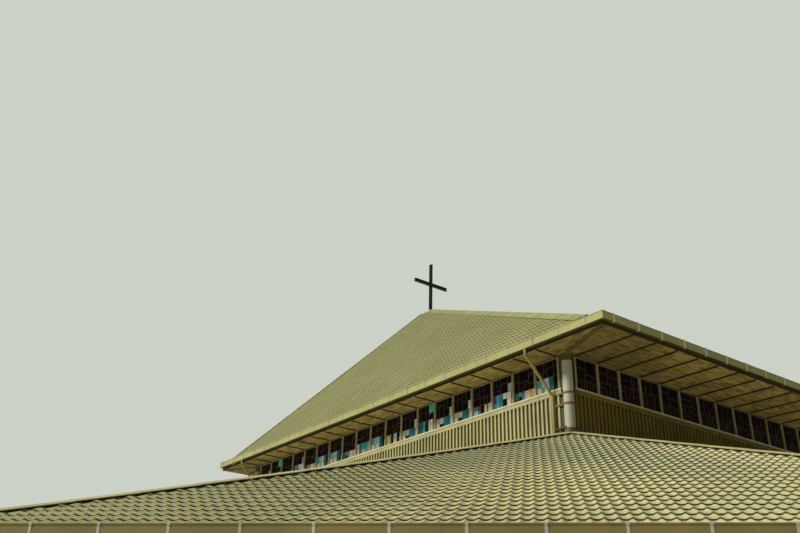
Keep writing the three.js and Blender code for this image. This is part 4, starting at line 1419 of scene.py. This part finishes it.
# Low and high edge, back and front, and the finish.
strips = (
    (SILL_TOP - 0.05 * REAL, SILL_TOP + 0.004 * REAL, 0.035 * REAL, 0.060 * REAL, sill_metal),
    (SILL + 0.004 * REAL, SILL_TOP - 0.052 * REAL, 0.035 * REAL, 0.045 * REAL, cladding_metal),
    (HEAD - 0.055 * REAL, HEAD - 0.012 * REAL, SEAT, 0.012 * REAL, head_timber),
)
noses, faces, heads = (
    [(Shape().block(span, (low, high), (back, front)).mesh(metal), place) for place in around]
    for low, high, back, front, metal in strips
)
piece("hall_sill_noses", noses + faces)
piece("hall_window_heads", heads)

# %% [markdown]
# The four round columns have a brown collar under the eave, two thin bands and a base ring. Flat
# arms below the collar and at the bands tie each column to both walls, and dark brackets hold its
# foot. The tables give two levels first, in metres of the real building, then a ring's radius, how
# far the two arms reach along the two walls, or where a foot bracket starts and ends.

# %% Column details
CENTRE = HALF_HALL - 0.07 * REAL
ARM_NEAR, ARM_FAR = HALF_HALL + 0.044 * REAL, HALF_HALL + 0.064 * REAL
RINGS = ((9.29, 9.345, 0.162), (8.97, 9.025, 0.162), (8.17, 8.25, 0.175))
ARMS = ((10.235, 10.26, 0.25, 0.25), (9.29, 9.345, 0.30, 0.33), (8.97, 9.025, 0.43, 0.33))
COLLAR, FOOT_RING = (10.27, 10.49, 0.154), (8.25, 8.285, 0.170)
FOOT_BRACKETS = ((8.14, 8.24, 0.46, 0.18), (8.29, 8.35, 0.56, 0.0))
RING_SIDES = 40


def ring_of(x, y, low, high, radius):
    """The two end circles of a ring round the column at x, y."""
    turns = [a * math.tau / RING_SIDES for a in range(RING_SIDES)]
    radius *= REAL
    circle = [(x + radius * math.cos(a), y + radius * math.sin(a)) for a in turns]
    return [(px, py, low * REAL) for px, py in circle], [(px, py, high * REAL) for px, py in circle]


collars, bands, feet = Shape(), Shape(), Shape()
for sx, sy in CORNERS:
    x, y = sx * CENTRE, sy * CENTRE
    collars.loft(*ring_of(x, y, *COLLAR))
    for ring in RINGS:
        bands.loft(*ring_of(x, y, *ring))
    across_x, across_y = (sorted((s * ARM_NEAR, s * ARM_FAR)) for s in (sx, sy))
    for low, high, first, second in ARMS:
        height = (low * REAL, high * REAL)
        bands.block(across_x, sorted((sy * (CENTRE - first * REAL), y)), height)
        bands.block(sorted((sx * (CENTRE - second * REAL), x)), across_y, height)
    foot_reach = sorted((sx * HALF_HALL, sx * (ARM_FAR + 0.02 * REAL)))
    for low, high, *reaches in FOOT_BRACKETS:
        along = sorted(sy * (CENTRE - reach * REAL) for reach in reaches)
        feet.block(foot_reach, along, (low * REAL, high * REAL))
    feet.loft(*ring_of(x, y, *FOOT_RING))
collar_parts = [(collars.mesh(collar_paint), HERE), (feet.mesh(foot_paint), HERE)]
piece("column_collars", collar_parts)
piece("column_bands", [(bands.mesh(band_metal), HERE)])

# %% [markdown]
# The lower storey has plain windows, each with a frame and a middle bar, and one double door of
# upright boards. None of them is in the picture, so they are kept plain.

# %% Lower windows and doors
WINDOWS, WINDOW_PITCH = 6, 3 * REAL
WINDOW_WIDTH, WINDOW_HEIGHT, WINDOW_FOOT = 1.8 * REAL, 1.3 * REAL, 1.15 * REAL
DOOR_BOARDS, DOOR_BOARD, DOOR_MIDDLE, DOOR_PITCH = 10, 0.11 * REAL, 0.02, 0.117
DOOR_CLEAR = 0.004
HANDLE_WIDTH, HANDLE_HEIGHT, HANDLE_FEET = (0.07, 0.11), (1.05, 1.45), (1.08, 1.40)


def window_frame():
    bar, low, high = 0.05 * REAL, -0.11 * REAL, -0.05 * REAL
    half, top = WINDOW_WIDTH / 2, WINDOW_HEIGHT
    shape = Shape()
    for x in ((-half, -half + bar), (half - bar, half), (-bar / 2, bar / 2)):
        shape.block(x, (0, top), (low, high))
    for y in ((0, bar), (top - bar, top)):
        shape.block((-half, half), y, (low + 0.001, high - 0.001))
    return shape.mesh()


frames = row(window_frame(), WINDOWS, (WINDOW_PITCH, 0, 0), frame_aluminium)
shift = Matrix.Translation((-(WINDOWS - 1) * WINDOW_PITCH / 2, 0, 0))
parts = []
for turns, eave, _, _ in SKIRT_FACES:
    for name, turn in turns.items():
        if name != "front":
            place = face_frame(turn, eave - SKIRT_WALL_IN, WINDOW_FOOT, WALL)
            parts.append((frames, place @ shift))
piece("skirt_window_frames", parts)

door_low, door_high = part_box("front_door_left")
door, handles = Shape(), Shape()
upright = (door_low.z + DOOR_CLEAR, door_high.z - DOOR_CLEAR)
for side in (-1, 1):
    for number in range(DOOR_BOARDS):
        x = side * (DOOR_MIDDLE + number * DOOR_PITCH) * REAL
        door.block(sorted((x, x + side * DOOR_BOARD)), upright, (0, 0.012 * REAL))
    ends = sorted(side * x * REAL for x in HANDLE_WIDTH)
    handles.block(ends, [y * REAL for y in HANDLE_HEIGHT], (0.04 * REAL, 0.06 * REAL))
    for low in HANDLE_FEET:
        handles.block(ends, (low * REAL, (low + 0.03) * REAL), (0.01 * REAL, 0.045 * REAL))
place = face_frame(3 * QUARTER, -door_low.y, 0, WALL)
piece("front_door_boards", [(door.mesh(door_timber), place)])
piece("front_door_handles", [(handles.mesh(bracket_metal), place)])

# %% [markdown]
# The CAD nodes that still show get their finishes in their own material slots. Their meshes stay
# as they are.

# %% Finishes on the CAD model
# hall_gable and hall_walls take the grooves' near-black paint, as painted shade behind the ribs.
FINISHES = {
    "cross": cross_steel, "downpipe": pipe_paint, "floor_slab": slab_concrete,
    "front_door": door_timber, "hall_column": column_paint, "hall_gable": groove_shade_metal,
    "hall_gutter": gutter_metal, "hall_soffit": batten_timber, "hall_walls": groove_shade_metal,
    "hall_window_frame": fin_paint, "skirt_glass": clear_glass, "skirt_gutter": low_gutter_metal,
    "skirt_soffit": batten_timber, "skirt_wall": wall_plaster,
}
for name, node in frame["nodes"].items():
    for prefix, material in FINISHES.items():
        if name.startswith(prefix):
            node.material_slots[0].material = material
print("finishes on", len(frame["nodes"]), "nodes")
